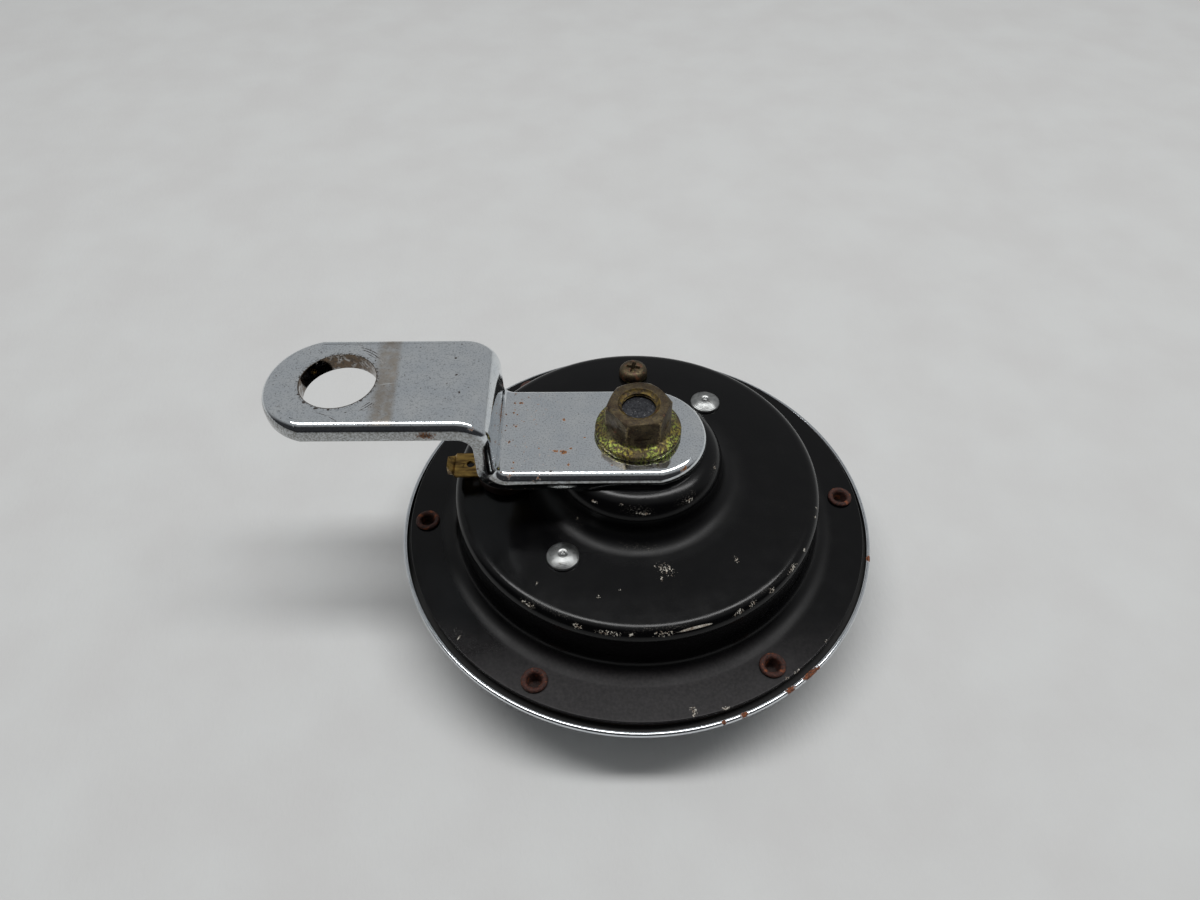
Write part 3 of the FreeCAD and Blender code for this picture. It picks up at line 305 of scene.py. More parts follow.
def spotMask(material, place, spots, ragged=0.8, grain=0.5, soft=0.3):
    # spots are (x, y, z, half length, half width, half height, turn in degrees)
    nearest = None
    for x, y, z, long, wide, high, turn in spots:
        inputs = {"Vector": place, "Location": (x, y, z), "Scale": (long, wide, high)}
        inputs["Rotation"] = (0, 0, math.radians(turn))
        local = addNode(material, "Mapping", inputs, vector_type="TEXTURE")
        reach = addNode(material, "VectorMath", {0: local}, take="Value", operation="LENGTH")
        nearest = calculate(material, "MINIMUM", nearest, reach) if nearest else reach
    noise = addNode(material, "TexNoise", {"Vector": place, "Scale": 1 / grain, "Detail": 4.0})
    shift = calculate(material, "MULTIPLY_ADD", noise, 2 * ragged, -ragged)
    edge = calculate(material, "ADD", nearest, shift)
    return ramp(material, edge, 1.0, 1.0 - soft)


def nearestAxis(material, place, centres):  # distance in millimetres from the nearest upright axis
    nearest = None
    for x, y in centres:
        inputs = {"Vector": place, "Location": (x, y, 0), "Scale": (1, 1, 1e6)}
        local = addNode(material, "Mapping", inputs, vector_type="TEXTURE")
        reach = addNode(material, "VectorMath", {0: local}, take="Value", operation="LENGTH")
        nearest = calculate(material, "MINIMUM", nearest, reach) if nearest else reach
    return nearest


def bump(material, height, depth, normal=None):  # depth in millimetres
    inputs = {"Height": height, "Distance": depth * mm, "Strength": 1.0}
    if normal:
        inputs["Normal"] = normal
    return addNode(material, "Bump", inputs)


def finishMaterial(material, colour, roughness, normal=None, metallic=0.0, **sockets):
    inputs = {"Base Color": colour, "Roughness": roughness, "Metallic": metallic}
    inputs.update({name.replace("_", " "): value for name, value in sockets.items()})
    if normal:
        inputs["Normal"] = normal
    shader = addNode(material, "BsdfPrincipled", inputs)
    addNode(material, "OutputMaterial", {"Surface": shader})
    return material


def polar(angle, radius):
    return radius * math.cos(math.radians(angle)), radius * math.sin(math.radians(angle))


def rimSpots(rows, radius, z, high):  # rows are (angle, half length, half width) on a circle about the axis
    spots = []
    for angle, long, wide in rows:
        x, y = polar(angle, radius)
        spots.append((x, y, z, wide, long, high, angle))
    return spots


# rows that aren't in rimSpots are (x, y, z, half length, half width, half height, turn), as spotMask takes them
enamelLook = {
    "chips": rimSpots([
        (-124.5, 1.6, 0.3), (-108.5, 1.1, 0.35), (-99.2, 2.2, 0.3), (-93.0, 0.6, 0.25), (-83.7, 2.1, 0.4),
        (-61.2, 1.0, 0.35), (-56.0, 0.9, 0.35), (-48.5, 0.8, 0.4), (-38.3, 1.5, 0.35), (-30.4, 0.4, 0.3),
        (-17.3, 0.35, 0.3), (-13.5, 0.35, 0.3), (115.0, 0.6, 0.4),
    ], 39.3, 29.7, 1.1)
    + [
        (-3.8, -15.9, 39.8, 0.6, 0.25, 0.5, 0), (0.6, -17.3, 38.7, 1.3, 0.2, 0.4, 0),
        (-9.0, -14.5, 39.0, 0.8, 0.2, 0.4, -30), (10.2, -14.0, 38.8, 0.8, 0.3, 0.5, 35),
        (15.9, -5.8, 39.2, 0.4, 0.25, 0.5, 70), (-12.8, -13.9, 32.5, 0.25, 0.25, 0.8, 0),
        (5.0, -25.2, 30.7, 1.7, 1.0, 0.5, -35), (4.2, -27.6, 30.7, 0.3, 0.6, 0.5, 0),
        (19.6, -23.1, 30.7, 0.35, 1.0, 0.5, 8), (-20.6, -28.2, 30.7, 0.3, 0.3, 0.5, 0),
        (-8.3, -31.5, 30.7, 0.3, 0.3, 0.5, 0), (-4.2, -30.0, 30.7, 0.25, 0.25, 0.5, 0),
        (10.1, -49.4, 17.6, 0.6, 1.2, 0.5, 20), (16.3, -48.7, 17.6, 1.0, 0.4, 0.5, 18),
        (28.9, -42.4, 17.6, 0.6, 0.45, 0.5, 35), (31.1, -40.9, 17.6, 1.2, 0.3, 0.5, 37),
        (38.3, -34.1, 17.6, 0.5, 0.3, 0.5, 45), (-37.2, -33.0, 17.6, 0.5, 0.3, 0.5, 40),
    ],
    "streaks": rimSpots([(-74.6, 3.8, 0.2)], 39.2, 29.7, 0.7),
    "scuffs": rimSpots([(-90, 4.0, 1.3), (-56, 4.0, 1.3), (-20, 3.0, 1.0)], 16.8, 39.2, 1.6)
    + [
        (-14.0, -12.0, 35.0, 1.5, 2.5, 4.0, -130), (0.0, -20.6, 31.5, 8.0, 1.5, 1.2, 0),
        (-13.4, -15.6, 33.5, 2.8, 2.2, 3.5, -126), (-37.8, -31.8, 17.6, 1.1, 1.6, 0.5, 25),
    ]
    + rimSpots([(-84, 9.0, 0.7), (-118, 8.0, 0.7), (-50, 8.0, 0.7)], 38.4, 30.4, 1.2),
}


# Stoved black enamel on a deep-drawn pressing: deep black, softly glossy, dusty, scratched, chipped at the shoulders
def blackEnamel():
    material, place = newMaterial("stovedBlackEnamel")
    dust = mottle(material, place, 9.0, 5.0, 0.4, 0.75)
    grit = mottle(material, place, 0.3, 2.0, 0.55, 0.75)  # coarser than real dust, so that it shows
    height = axisOf(material, place, "Z")
    along = axisOf(material, place, "Y")
    low = ramp(material, height, 19.5, 18.0)
    reach = nearestAxis(material, place, [(0, 0)])
    byBoss = ramp(material, reach, 25.0, 21.5)
    byDrum = ramp(material, reach, 45.0, 43.5)
    below = calculate(material, "LESS_THAN", height, 37.0)
    byBoss = calculate(material, "MULTIPLY", byBoss, below)
    byDrum = calculate(material, "MULTIPLY", byDrum, low)
    hollow = calculate(material, "MAXIMUM", byBoss, byDrum)
    near = ramp(material, along, -28.0, -44.0)
    dull = calculate(material, "MULTIPLY", low, near)  # at the near side the flange is rougher and painted a lighter purple-grey
    dusty = calculate(material, "MULTIPLY", dust, grit)
    dustier = calculate(material, "MULTIPLY", dusty, 0.25)
    colour = paint(material, dustier, "#040405", "#262422")
    bloom = mottle(material, place, 0.6, 4.0, 0.3, 0.7)
    nearGreyTone = calculate(material, "MULTIPLY_ADD", bloom, 0.6, 0.25)
    nearGreyTone = calculate(material, "MULTIPLY", dull, nearGreyTone)
    colour = paint(material, nearGreyTone, colour, "#2b2829")
    scuffs = spotMask(material, place, enamelLook["scuffs"], 0.9, 1.2, 0.9)
    fine = mottle(material, place, 0.35, 3.0, 0.54, 0.7, (1, 1, 2.5))
    scuffed = calculate(material, "MULTIPLY", scuffs, fine)
    colour = paint(material, scuffed, colour, "#4d4a45")
    chips = spotMask(material, place, enamelLook["chips"], 1.7, 0.45, 0.3)
    flecks = mottle(material, place, 0.34, 3.0, 0.49, 0.54)
    chipped = calculate(material, "MULTIPLY", chips, flecks)
    streaks = spotMask(material, place, enamelLook["streaks"], 0.25, 0.6, 0.2)
    bare = calculate(material, "MAXIMUM", chipped, streaks)
    metal = mottle(material, place, 0.6, 2.0, 0.35, 0.6)
    bareMetal = paint(material, metal, "#77695c", "#c9c5ba")
    colour = paint(material, bare, colour, bareMetal)
    smear = mottle(material, place, 5.0, 4.0, 0.3, 0.8)
    gloss = ramp(material, smear, 0, 1, 0.16, 0.27)
    gloss = calculate(material, "MULTIPLY_ADD", dull, 0.17, gloss)
    gloss = calculate(material, "MULTIPLY_ADD", scuffed, 0.3, gloss)
    gloss = calculate(material, "MULTIPLY_ADD", hollow, 0.2, gloss)
    peel = addNode(material, "TexNoise", {"Vector": place, "Scale": 0.7, "Detail": 2.0})
    normal = bump(material, peel, 0.012)
    sunk = calculate(material, "SUBTRACT", 1.0, bare)
    normal = bump(material, sunk, 0.02, normal)
    return finishMaterial(material, colour, gloss, normal, IOR=1.46, Specular_IOR_Level=0.28)


chromeSpots = {
    "lipRust": rimSpots([
        (-56, 1.4, 0.6), (-49.7, 2.8, 0.8), (-67.9, 0.9, 0.6), (-72.7, 0.6, 0.5), (-14.1, 0.8, 0.8),
    ], 53.1, 15.9, 1.2),
    "rust": [
        (-17.0, -5.6, 44.5, 0.7, 0.4, 0.6, 0), (-15.3, -5.9, 44.5, 1.0, 0.75, 0.6, 0),
        (-13.9, -4.9, 44.5, 0.4, 0.28, 0.6, 0), (-14.3, -9.3, 44.5, 0.45, 0.5, 0.6, 0),
        (-15.5, 3.3, 44.5, 0.4, 0.5, 0.6, 0), (-24.8, 8.2, 44.5, 0.6, 0.4, 0.6, 0),
        (-26.2, 8.2, 44.5, 0.4, 0.35, 0.6, 0), (-25.5, 1.3, 44.5, 0.35, 0.35, 0.6, 0),
        (-26.6, -3.0, 44.6, 0.35, 0.5, 0.8, 0), (-25.3, -8.6, 44.5, 0.3, 0.3, 0.6, 0),
        (-20.2, -12.4, 44.2, 0.7, 0.45, 0.7, 0), (-26.0, -12.0, 44.7, 0.7, 0.6, 1.0, 0),
        (-28.3, -12.2, 47.5, 0.6, 0.5, 1.6, 0), (-20.4, -4.8, 44.5, 0.25, 0.25, 0.6, 0),
        (-11.1, -1.9, 44.5, 0.25, 0.25, 0.6, 0), (-5.5, -9.4, 44.5, 0.3, 0.25, 0.6, 0),
        (-31.5, -12.0, 58.6, 1.0, 0.5, 0.9, 0), (-40.5, -12.8, 57.2, 1.8, 0.4, 0.9, 0),
        (-28.6, 3.0, 47.0, 0.4, 3.5, 1.0, 0), (9.0, -10.0, 44.0, 1.2, 0.4, 0.7, 45),
    ],
    "pits": [
        (-17.7, -10.9, 44.5, 0.55, 0.3, 0.6, 20), (-36.6, 6.3, 59.4, 0.4, 0.3, 0.6, 0),
        (-36.0, 1.4, 59.4, 0.5, 0.28, 0.6, 40), (-34.9, -3.4, 59.4, 0.3, 0.4, 0.6, 0),
        (-66.0, -3.7, 59.4, 0.35, 0.35, 0.8, 0), (-64.4, -5.9, 59.4, 0.5, 0.35, 0.8, -45),
        (-61.8, -7.5, 59.4, 0.6, 0.35, 0.8, 0), (-59.3, -7.9, 59.4, 0.45, 0.3, 0.8, 0),
        (-53.6, -5.5, 59.4, 0.5, 0.3, 0.8, 45),
    ],
    "scratches": [(-54.2, 8.3, 59.4, 5.0, 1.0, 0.6, -42), (-52.0, -7.2, 59.4, 3.2, 1.4, 0.6, 65)],
    "cracks": [(-60.4, -9.0, 59.4, 1.5, 0.1, 0.6, -22), (-58.0, -10.3, 59.4, 1.4, 0.1, 0.6, -33)],
    "whiteLine": [(-49.3, -1.0, 59.4, 1.6, 0.1, 0.6, 8)],
    "stainLeft": (-52.6, -50.8), "stainRight": (-47.0, -48.0), "stainLean": 0.06,
}


# Decorative chrome on steel: a cool mirror with a fine haze, pin-pricks and brown rust bleeding through them, and
# painted shade on the ledge inside the lip
def brightChrome(name, rustSpots, haze):
    material, place = newMaterial(name)
    clouds = mottle(material, place, 4.0, 5.0, 0.3, 0.7)
    grain = mottle(material, place, 0.22, 2.0, 0.35, 0.65)
    colour = paint(material, clouds, "#dadfe3", "#e6e9ec")
    pricks = mottle(material, place, 0.45, 1.0, 0.73, 0.78)
    colour = paint(material, pricks, colour, "#4b4743")
    # painted shade: the ledge inside the lip, under the housing flange's edge, becomes near-black, matt and not
    # metal, standing for the dark gap there
    reach = nearestAxis(material, place, [(0, 0)])
    height = axisOf(material, place, "Z")
    inside = calculate(material, "LESS_THAN", reach, 52.55)
    ledge = ramp(material, height, 14.8, 15.0)
    grimeAndGapShade = calculate(material, "MULTIPLY", inside, ledge)
    rust = spotMask(material, place, rustSpots, 0.9, 0.55, 0.25)
    shade = mottle(material, place, 0.5, 3.0, 0.4, 0.6)
    brown = paint(material, shade, "#8a4a22", "#4a2a1a")
    colour = paint(material, rust, colour, brown)
    gloss = ramp(material, clouds, 0, 1, haze, haze + 0.05)
    # painted shade in the gap under the housing flange
    colour = paint(material, grimeAndGapShade, colour, "#0b0a09")
    dull = calculate(material, "MAXIMUM", rust, grimeAndGapShade)
    gloss = calculate(material, "MULTIPLY_ADD", dull, 0.6, gloss)
    metal = calculate(material, "SUBTRACT", 1.0, dull)
    normal = bump(material, grain, 0.003)
    normal = bump(material, rust, 0.04, normal)
    return finishMaterial(material, colour, gloss, normal, metal)


# Chromed flat steel, handled for years: the same mirror, hazed, with a brown stain, washer marks, pits and rust
def agedChrome():
    material, place = newMaterial("agedBracketChrome")
    clouds = mottle(material, place, 5.0, 6.0, 0.3, 0.7)
    grain = mottle(material, place, 0.25, 3.0, 0.3, 0.7)
    colour = paint(material, clouds, "#dbe1e6", "#e8ecee")
    fleck = mottle(material, place, 0.32, 2.0, 0.5, 0.75)
    flecked = calculate(material, "MULTIPLY", fleck, 0.55)
    colour = paint(material, flecked, colour, "#7f858b")
    pinholes = mottle(material, place, 0.42, 1.5, 0.7, 0.75)
    colour = paint(material, pinholes, colour, "#4a3a2e")
    height = axisOf(material, place, "Z")
    across = axisOf(material, place, "X")
    along = axisOf(material, place, "Y")
    lean = calculate(material, "MULTIPLY_ADD", along, chromeSpots["stainLean"], across)
    left = ramp(material, lean, *chromeSpots["stainLeft"])
    right = ramp(material, lean, *chromeSpots["stainRight"])
    upper = calculate(material, "GREATER_THAN", height, 59.0)
    band = calculate(material, "MULTIPLY", left, right)
    band = calculate(material, "MULTIPLY", band, upper)
    patchy = mottle(material, place, 1.6, 4.0, 0.1, 0.6)
    band = calculate(material, "MULTIPLY", band, patchy)
    stained = calculate(material, "MULTIPLY", band, 0.75)
    colour = paint(material, stained, colour, "#a19483")
    holeReach = nearestAxis(material, place, [(bracketLook["holeX"], 0)])
    hole, half = bracketLook["hole"], bracketLook["half"]
    wall = ramp(material, holeReach, hole + 0.25, hole + 0.1)
    grimy = mottle(material, place, 1.2, 4.0, 0.15, 0.5)
    wallDirt = calculate(material, "MULTIPLY", wall, grimy)
    colour = paint(material, wallDirt, colour, "#6a5c4e")
    outward = calculate(material, "ABSOLUTE", along)
    straight = ramp(material, outward, half - 0.45, half - 0.15)
    first, last = bracketLook["holeMiddle"], bracketLook["studMiddle"]
    endReach = nearestAxis(material, place, [(first, 0), (last, 0)])
    ends = ramp(material, endReach, 12.9, 13.1)
    fromMiddle = calculate(material, "SUBTRACT", across, (first + last) / 2)
    fromMiddle = calculate(material, "ABSOLUTE", fromMiddle)
    endOnly = ramp(material, fromMiddle, 31.0, 31.6)  # past the middles of the round ends
    ends = calculate(material, "MULTIPLY", ends, endOnly)
    sides = calculate(material, "MAXIMUM", straight, ends)
    sideSpeckle = mottle(material, place, 0.4, 4.0, 0.35, 0.65)
    sideSpeckle = calculate(material, "MULTIPLY_ADD", sideSpeckle, 0.5, 0.35)
    sideGrime = calculate(material, "MULTIPLY", sides, sideSpeckle)
    colour = paint(material, sideGrime, colour, "#6b6760")
    rim = ramp(material, holeReach, hole + 0.8, hole + 0.3)
    wornRim = mottle(material, place, 0.45, 3.0, 0.5, 0.6)
    wornRim = calculate(material, "MULTIPLY", rim, wornRim)
    colour = paint(material, wornRim, colour, "#575049")
    rings = waves(material, holeReach, 0.55, 0.2, 0.6)
    marks = spotMask(material, place, chromeSpots["scratches"], 0.5, 1.5, 0.5)
    broken = mottle(material, place, 1.4, 3.0, 0.34, 0.46)
    marks = calculate(material, "MULTIPLY", marks, rings)
    marks = calculate(material, "MULTIPLY", marks, broken)
    pits = spotMask(material, place, chromeSpots["pits"], 0.7, 0.4, 0.4)
    cracks = spotMask(material, place, chromeSpots["cracks"], 0.3, 1.0, 0.4)
    worn = calculate(material, "MAXIMUM", marks, pits)
    worn = calculate(material, "MAXIMUM", worn, cracks)
    colour = paint(material, worn, colour, "#2b2420")
    byFoot = ramp(material, across, -12.0, -25.0)
    rustDots = mottle(material, place, 0.8, 2.0, 0.66, 0.7)
    rustDots = calculate(material, "MULTIPLY", rustDots, byFoot)
    lower = calculate(material, "LESS_THAN", height, 50.0)
    rustDots = calculate(material, "MULTIPLY", rustDots, lower)
    rust = spotMask(material, place, chromeSpots["rust"], 1.1, 0.35, 0.4)
    rust = calculate(material, "MAXIMUM", rust, rustDots)
    shade = mottle(material, place, 0.35, 3.0, 0.4, 0.6)
    brown = paint(material, shade, "#8a5829", "#432716")
    colour = paint(material, rust, colour, brown)
    line = spotMask(material, place, chromeSpots["whiteLine"], 0.2, 0.8, 0.5)
    colour = paint(material, line, colour, "#f4f4f2")
    decay = calculate(material, "MAXIMUM", worn, rust)
    gloss = ramp(material, clouds, 0, 1, 0.04, 0.08)
    gloss = calculate(material, "MULTIPLY_ADD", band, 0.2, gloss)
    gloss = calculate(material, "MULTIPLY_ADD", decay, 0.45, gloss)
    metal = calculate(material, "MULTIPLY_ADD", decay, -0.85, 1.0)
    normal = bump(material, grain, 0.003)
    normal = bump(material, rust, 0.01, normal)
    return finishMaterial(material, colour, gloss, normal, metal)


# Mild steel rivets rusted all over: matt red-brown crust, darker down the hole
def rustedSteel():
    material, place = newMaterial("rustedRivetSteel")
    centres = [polar(rivetLook["turn"] + 60 * number, rivetLook["circle"]) for number in range(6)]
    reach = nearestAxis(material, place, centres)
    crust = mottle(material, place, 0.5, 5.0, 0.35, 0.65)
    grain = mottle(material, place, 0.12, 3.0, 0.3, 0.7)
    colour = paint(material, crust, "#240f08", "#472115")
    orange = mottle(material, place, 1.3, 2.0, 0.56, 0.68)
    colour = paint(material, orange, colour, "#7a3f1f")
    hole = ramp(material, reach, 1.6, 1.2)
    darkHole = calculate(material, "MULTIPLY", hole, 0.8)
    colour = paint(material, darkHole, colour, "#1c0d08")
    normal = bump(material, crust, 0.08)
    normal = bump(material, grain, 0.03, normal)
    return finishMaterial(material, colour, 0.72, normal, 0.0)


# Aluminium rivet heads, spun over by a rivet set: fine turned rings that spread the highlight
def spunAluminium():
    material, place = newMaterial("spunAluminium")
    centres = [polar(angle, yokeRivetLook["circle"]) for angle in yokeRivetLook["angles"]]
    reach = nearestAxis(material, place, centres)
    wobble = addNode(material, "TexNoise", {"Vector": place, "Scale": 0.8, "Detail": 2.0})
    reach = calculate(material, "MULTIPLY_ADD", wobble, 0.25, reach)
    rings = waves(material, reach, 0.3)
    clouds = mottle(material, place, 1.2, 4.0, 0.35, 0.65)
    colour = paint(material, clouds, "#868887", "#a6a7a6")
    grimeAndGapShade = mottle(material, place, 0.8, 3.0, 0.62, 0.72)
    colour = paint(material, grimeAndGapShade, colour, "#6f6d68")
    normal = bump(material, rings, 0.012)
    normal = bump(material, clouds, 0.01, normal)
    return finishMaterial(material, colour, 0.34, normal, 1.0)


# Zinc plate with a yellow chromate film, aged: brown and olive, greenish-gold where the film is left low down
def yellowZinc(name, glintBelow, wornAxes, mouth, rustFrom):  # mouth is (x, y, radius); a lower rustFrom is rustier
    material, place = newMaterial(name)
    patches = mottle(material, place, 1.8, 5.0, 0.36, 0.64)
    grain = mottle(material, place, 0.22, 3.0, 0.3, 0.7)
    colour = paint(material, patches, "#463b2f", "#655a44")
    speckle = mottle(material, place, 0.35, 3.0, 0.5, 0.68)
    speckled = calculate(material, "MULTIPLY", speckle, 0.7)
    colour = paint(material, speckled, colour, "#2e261d")
    nearEdge = nearestAxis(material, place, wornAxes)
    edges = ramp(material, nearEdge, 0.75, 0.2, -0.1, 0.16)  # upright edges wear first
    noise = addNode(material, "TexNoise", {"Vector": place, "Scale": 2.4, "Detail": 4.0})
    wear = calculate(material, "ADD", noise, edges)
    worn = ramp(material, wear, 0.56, 0.66)
    colour = paint(material, worn, colour, "#8f7f5f")
    height = axisOf(material, place, "Z")
    low = ramp(material, height, glintBelow + 0.4, glintBelow - 0.4)
    reach = nearestAxis(material, place, [mouth[:2]])
    inMouth = ramp(material, reach, mouth[2] + 0.15, mouth[2])
    mouthWear = mottle(material, place, 0.9, 3.0, 0.42, 0.62)
    mouthWear = calculate(material, "MULTIPLY", inMouth, mouthWear)
    colour = paint(material, mouthWear, colour, "#7d6a3c")
    film = mottle(material, place, 0.5, 4.0, 0.46, 0.58)
    regions = mottle(material, place, 4.5, 1.0, 0.32, 0.5)
    glints = calculate(material, "MULTIPLY", film, low)
    glints = calculate(material, "MULTIPLY", glints, regions)
    green = mottle(material, place, 2.4, 2.0, 0.4, 0.6)
    gold = paint(material, green, "#a8984a", "#9aa850")
    colour = paint(material, glints, colour, gold)
    rust = mottle(material, place, 1.1, 4.0, rustFrom, rustFrom + 0.1)
    colour = paint(material, rust, colour, "#5d3a22")
    dirt = mottle(material, place, 0.4, 4.0, 0.57, 0.66)
    colour = paint(material, dirt, colour, "#221b14")
    gloss = ramp(material, glints, 0, 1, 0.48, 0.3)
    gloss = calculate(material, "MULTIPLY_ADD", dirt, 0.25, gloss)
    matt = calculate(material, "MAXIMUM", dirt, rust)
    metal = calculate(material, "MULTIPLY_ADD", matt, -0.8, 0.9)
    normal = bump(material, patches, 0.015)
    normal = bump(material, grain, 0.02, normal)
    return finishMaterial(material, colour, gloss, normal, metal)


# Stamped brass, tarnished: brown-gold with dark streaks along the blade
def stampedBrass():
    material, place = newMaterial("stampedBrass")
    streaks = mottle(material, place, 1.2, 5.0, 0.4, 0.62, (0.35, 1.6, 1))
    colour = paint(material, streaks, "#a98a4c", "#6d5632")
    stains = mottle(material, place, 1.0, 3.0, 0.6, 0.7)
    colour = paint(material, stains, colour, "#33281b")
    fine = mottle(material, place, 0.25, 2.0, 0.3, 0.7, (0.2, 1, 1))
    gloss = ramp(material, streaks, 0, 1, 0.3, 0.45)
    normal = bump(material, fine, 0.006)
    return finishMaterial(material, colour, gloss, normal, 0.95)


# Machined steel left bare in a damp place: dark grey with a granular bloom
def bareSteel(name, light, dark, spots, size):
    material, place = newMaterial(name)
    bloom = mottle(material, place, size, 5.0, 0.4, 0.62)
    grain = mottle(material, place, 0.2, 3.0, 0.35, 0.65)
    colour = paint(material, bloom, light, dark)
    specks = mottle(material, place, size * 0.5, 3.0, 0.62, 0.7)
    colour = paint(material, specks, colour, spots)
    gloss = ramp(material, bloom, 0, 1, 0.35, 0.6)
    normal = bump(material, grain, 0.02)
    return finishMaterial(material, colour, gloss, normal, 0.9)


# Blued spring steel, rolled: dark blue-grey with a straight fine grain
def springSteel():
    material, place = newMaterial("rolledSpringSteel")
    grain = mottle(material, place, 0.4, 3.0, 0.3, 0.7, (0.06, 1, 1))
    colour = paint(material, grain, "#6c7078", "#8b8f95")
    heat = mottle(material, place, 8.0, 2.0, 0.4, 0.7)
    colour = paint(material, heat, colour, "#5c6274")
    normal = bump(material, grain, 0.003)
    return finishMaterial(material, colour, 0.3, normal, 1.0)


# Oiled gasket paper: soft brown with fibres and no gloss
def gasketPaper():
    material, place = newMaterial("oiledGasketPaper")
    fibre = mottle(material, place, 0.6, 5.0, 0.35, 0.65)
    colour = paint(material, fibre, "#3b3328", "#574a39")
    normal = bump(material, fibre, 0.03)
    return finishMaterial(material, colour, 0.85, normal, IOR=1.45)


# Phenolic board and mouldings: brown-black, slightly glossy, with a woven mottle
def phenolic():
    material, place = newMaterial("mouldedPhenolic")
    weave = mottle(material, place, 0.8, 3.0, 0.35, 0.65, (1, 1, 3))
    colour = paint(material, weave, "#1d130e", "#2c1c13")
    normal = bump(material, weave, 0.008)
    return finishMaterial(material, colour, 0.38, normal, IOR=1.6)


# Moulded black nylon: even, with a faint flow mottle
def mouldedNylon():
    material, place = newMaterial("mouldedNylon")
    flow = mottle(material, place, 2.5, 3.0, 0.3, 0.7)
    colour = paint(material, flow, "#1c1c1d", "#2a2a2b")
    fine = mottle(material, place, 0.3, 2.0, 0.3, 0.7)
    normal = bump(material, fine, 0.006)
    return finishMaterial(material, colour, 0.5, normal, IOR=1.53)


# Enamelled copper wire, wound: clear red-brown varnish over copper, one turn every 0.5 mm, with painted shade in the
# grooves between turns and a painted highlight on their crests
def enamelledWire():
    material, place = newMaterial("enamelledCopperWire")
    height = axisOf(material, place, "Z")
    turns = waves(material, height, 0.5)
    # painted shade and highlight: dark in the grooves between turns, bright copper on the crests
    colour = paint(material, turns, "#5d2411", "#b0562c")
    normal = bump(material, turns, 0.12)
    return finishMaterial(material, colour, 0.25, normal, 0.7)


# Tungsten contact buttons: pale grey, ground, with small arc marks
def groundTungsten():
    material, place = newMaterial("groundTungsten")
    burns = mottle(material, place, 0.7, 3.0, 0.5, 0.7)
    colour = paint(material, burns, "#a3a4a6", "#5b5b5e")
    normal = bump(material, burns, 0.01)
    return finishMaterial(material, colour, 0.32, normal, 1.0)


# Pieces

rivetLook = {"circle": 47.7, "turn": 3.6, "count": 6, "hole": 2.0, "sides": 40}


def flangeHoles(low, high):
    x, y = polar(rivetLook["turn"], rivetLook["circle"])
    hole = cylinder("hole", rivetLook["hole"], low, high, x, y, rivetLook["sides"])
    return joinPieces(copyRound(hole, rivetLook["count"]), "holes")


housingLook = {
    "sides": 192, "flange": 51.5, "drum": 40.0, "boss": 18.2, "bore": 4.2, "sheet": 1.2, "edge": 0.22,
    "bossTop": 40.9, "drumTop": 30.7, "drumEdge": 30.25, "flangeTop": 17.6, "flangeUnder": 16.4,
    "bossShoulder": 5.0, "bossRoot": 4.1, "crown": 33.5, "crownRounding": 60, "drumShoulder": 2.6, "drumRoot": 4.2,
}


def makeHousing():
    look = housingLook
    flange, bore, edge, sheet = look["flange"], look["bore"], look["edge"], look["sheet"]
    boss, bossTop = look["boss"], look["bossTop"]
    drum, drumTop = look["drum"], look["drumTop"]
    innerBoss, innerDrum = boss - sheet, drum - sheet
    corners = [
        (bore, bossTop), (boss, bossTop, look["bossShoulder"]), (boss, drumTop, look["bossRoot"]),
        (look["crown"], drumTop, look["crownRounding"]), (drum, look["drumEdge"], look["drumShoulder"]),
        (drum, look["flangeTop"], look["drumRoot"]), (flange, look["flangeTop"], edge),
        (flange, look["flangeUnder"], edge), (innerDrum, look["flangeUnder"], 5.4),
        (innerDrum, drumTop - sheet, 1.6), (innerBoss, drumTop - sheet, 5.3),
        (innerBoss, bossTop - sheet, 2.4), (bore, bossTop - sheet),
    ]
    piece = spinRound("rearHousing", roundCorners(corners), housingLook["sides"])
    cutters = [flangeHoles(15, 19)]
    spots = [(yokeRivetLook["hole"], *polar(angle, yokeRivetLook["circle"])) for angle in yokeRivetLook["angles"]]
    spots += [(screwLook["hole"], 0, screwLook["y"]), (terminalLook["spigotHole"], terminalLook["x"], 0)]
    for radius, x, y in spots:
        cutters.append(cylinder("hole", radius, 28, 32, x, y))
    combine(piece, joinPieces(cutters, "holes"))
    settle(piece, "housing", "rear_housing", blackEnamel())


coverLook = {
    "flat": 20.0, "mouth": 43.6, "depth": 14.2, "sheet": 0.8, "ledge": 15.0, "lip": 53.5, "lipTop": 16.1,
    "slots": 24, "slotWidth": 3.0, "slotStart": 25.0, "slotLength": 13.0, "bowSteps": 20, "sides": 192,
}


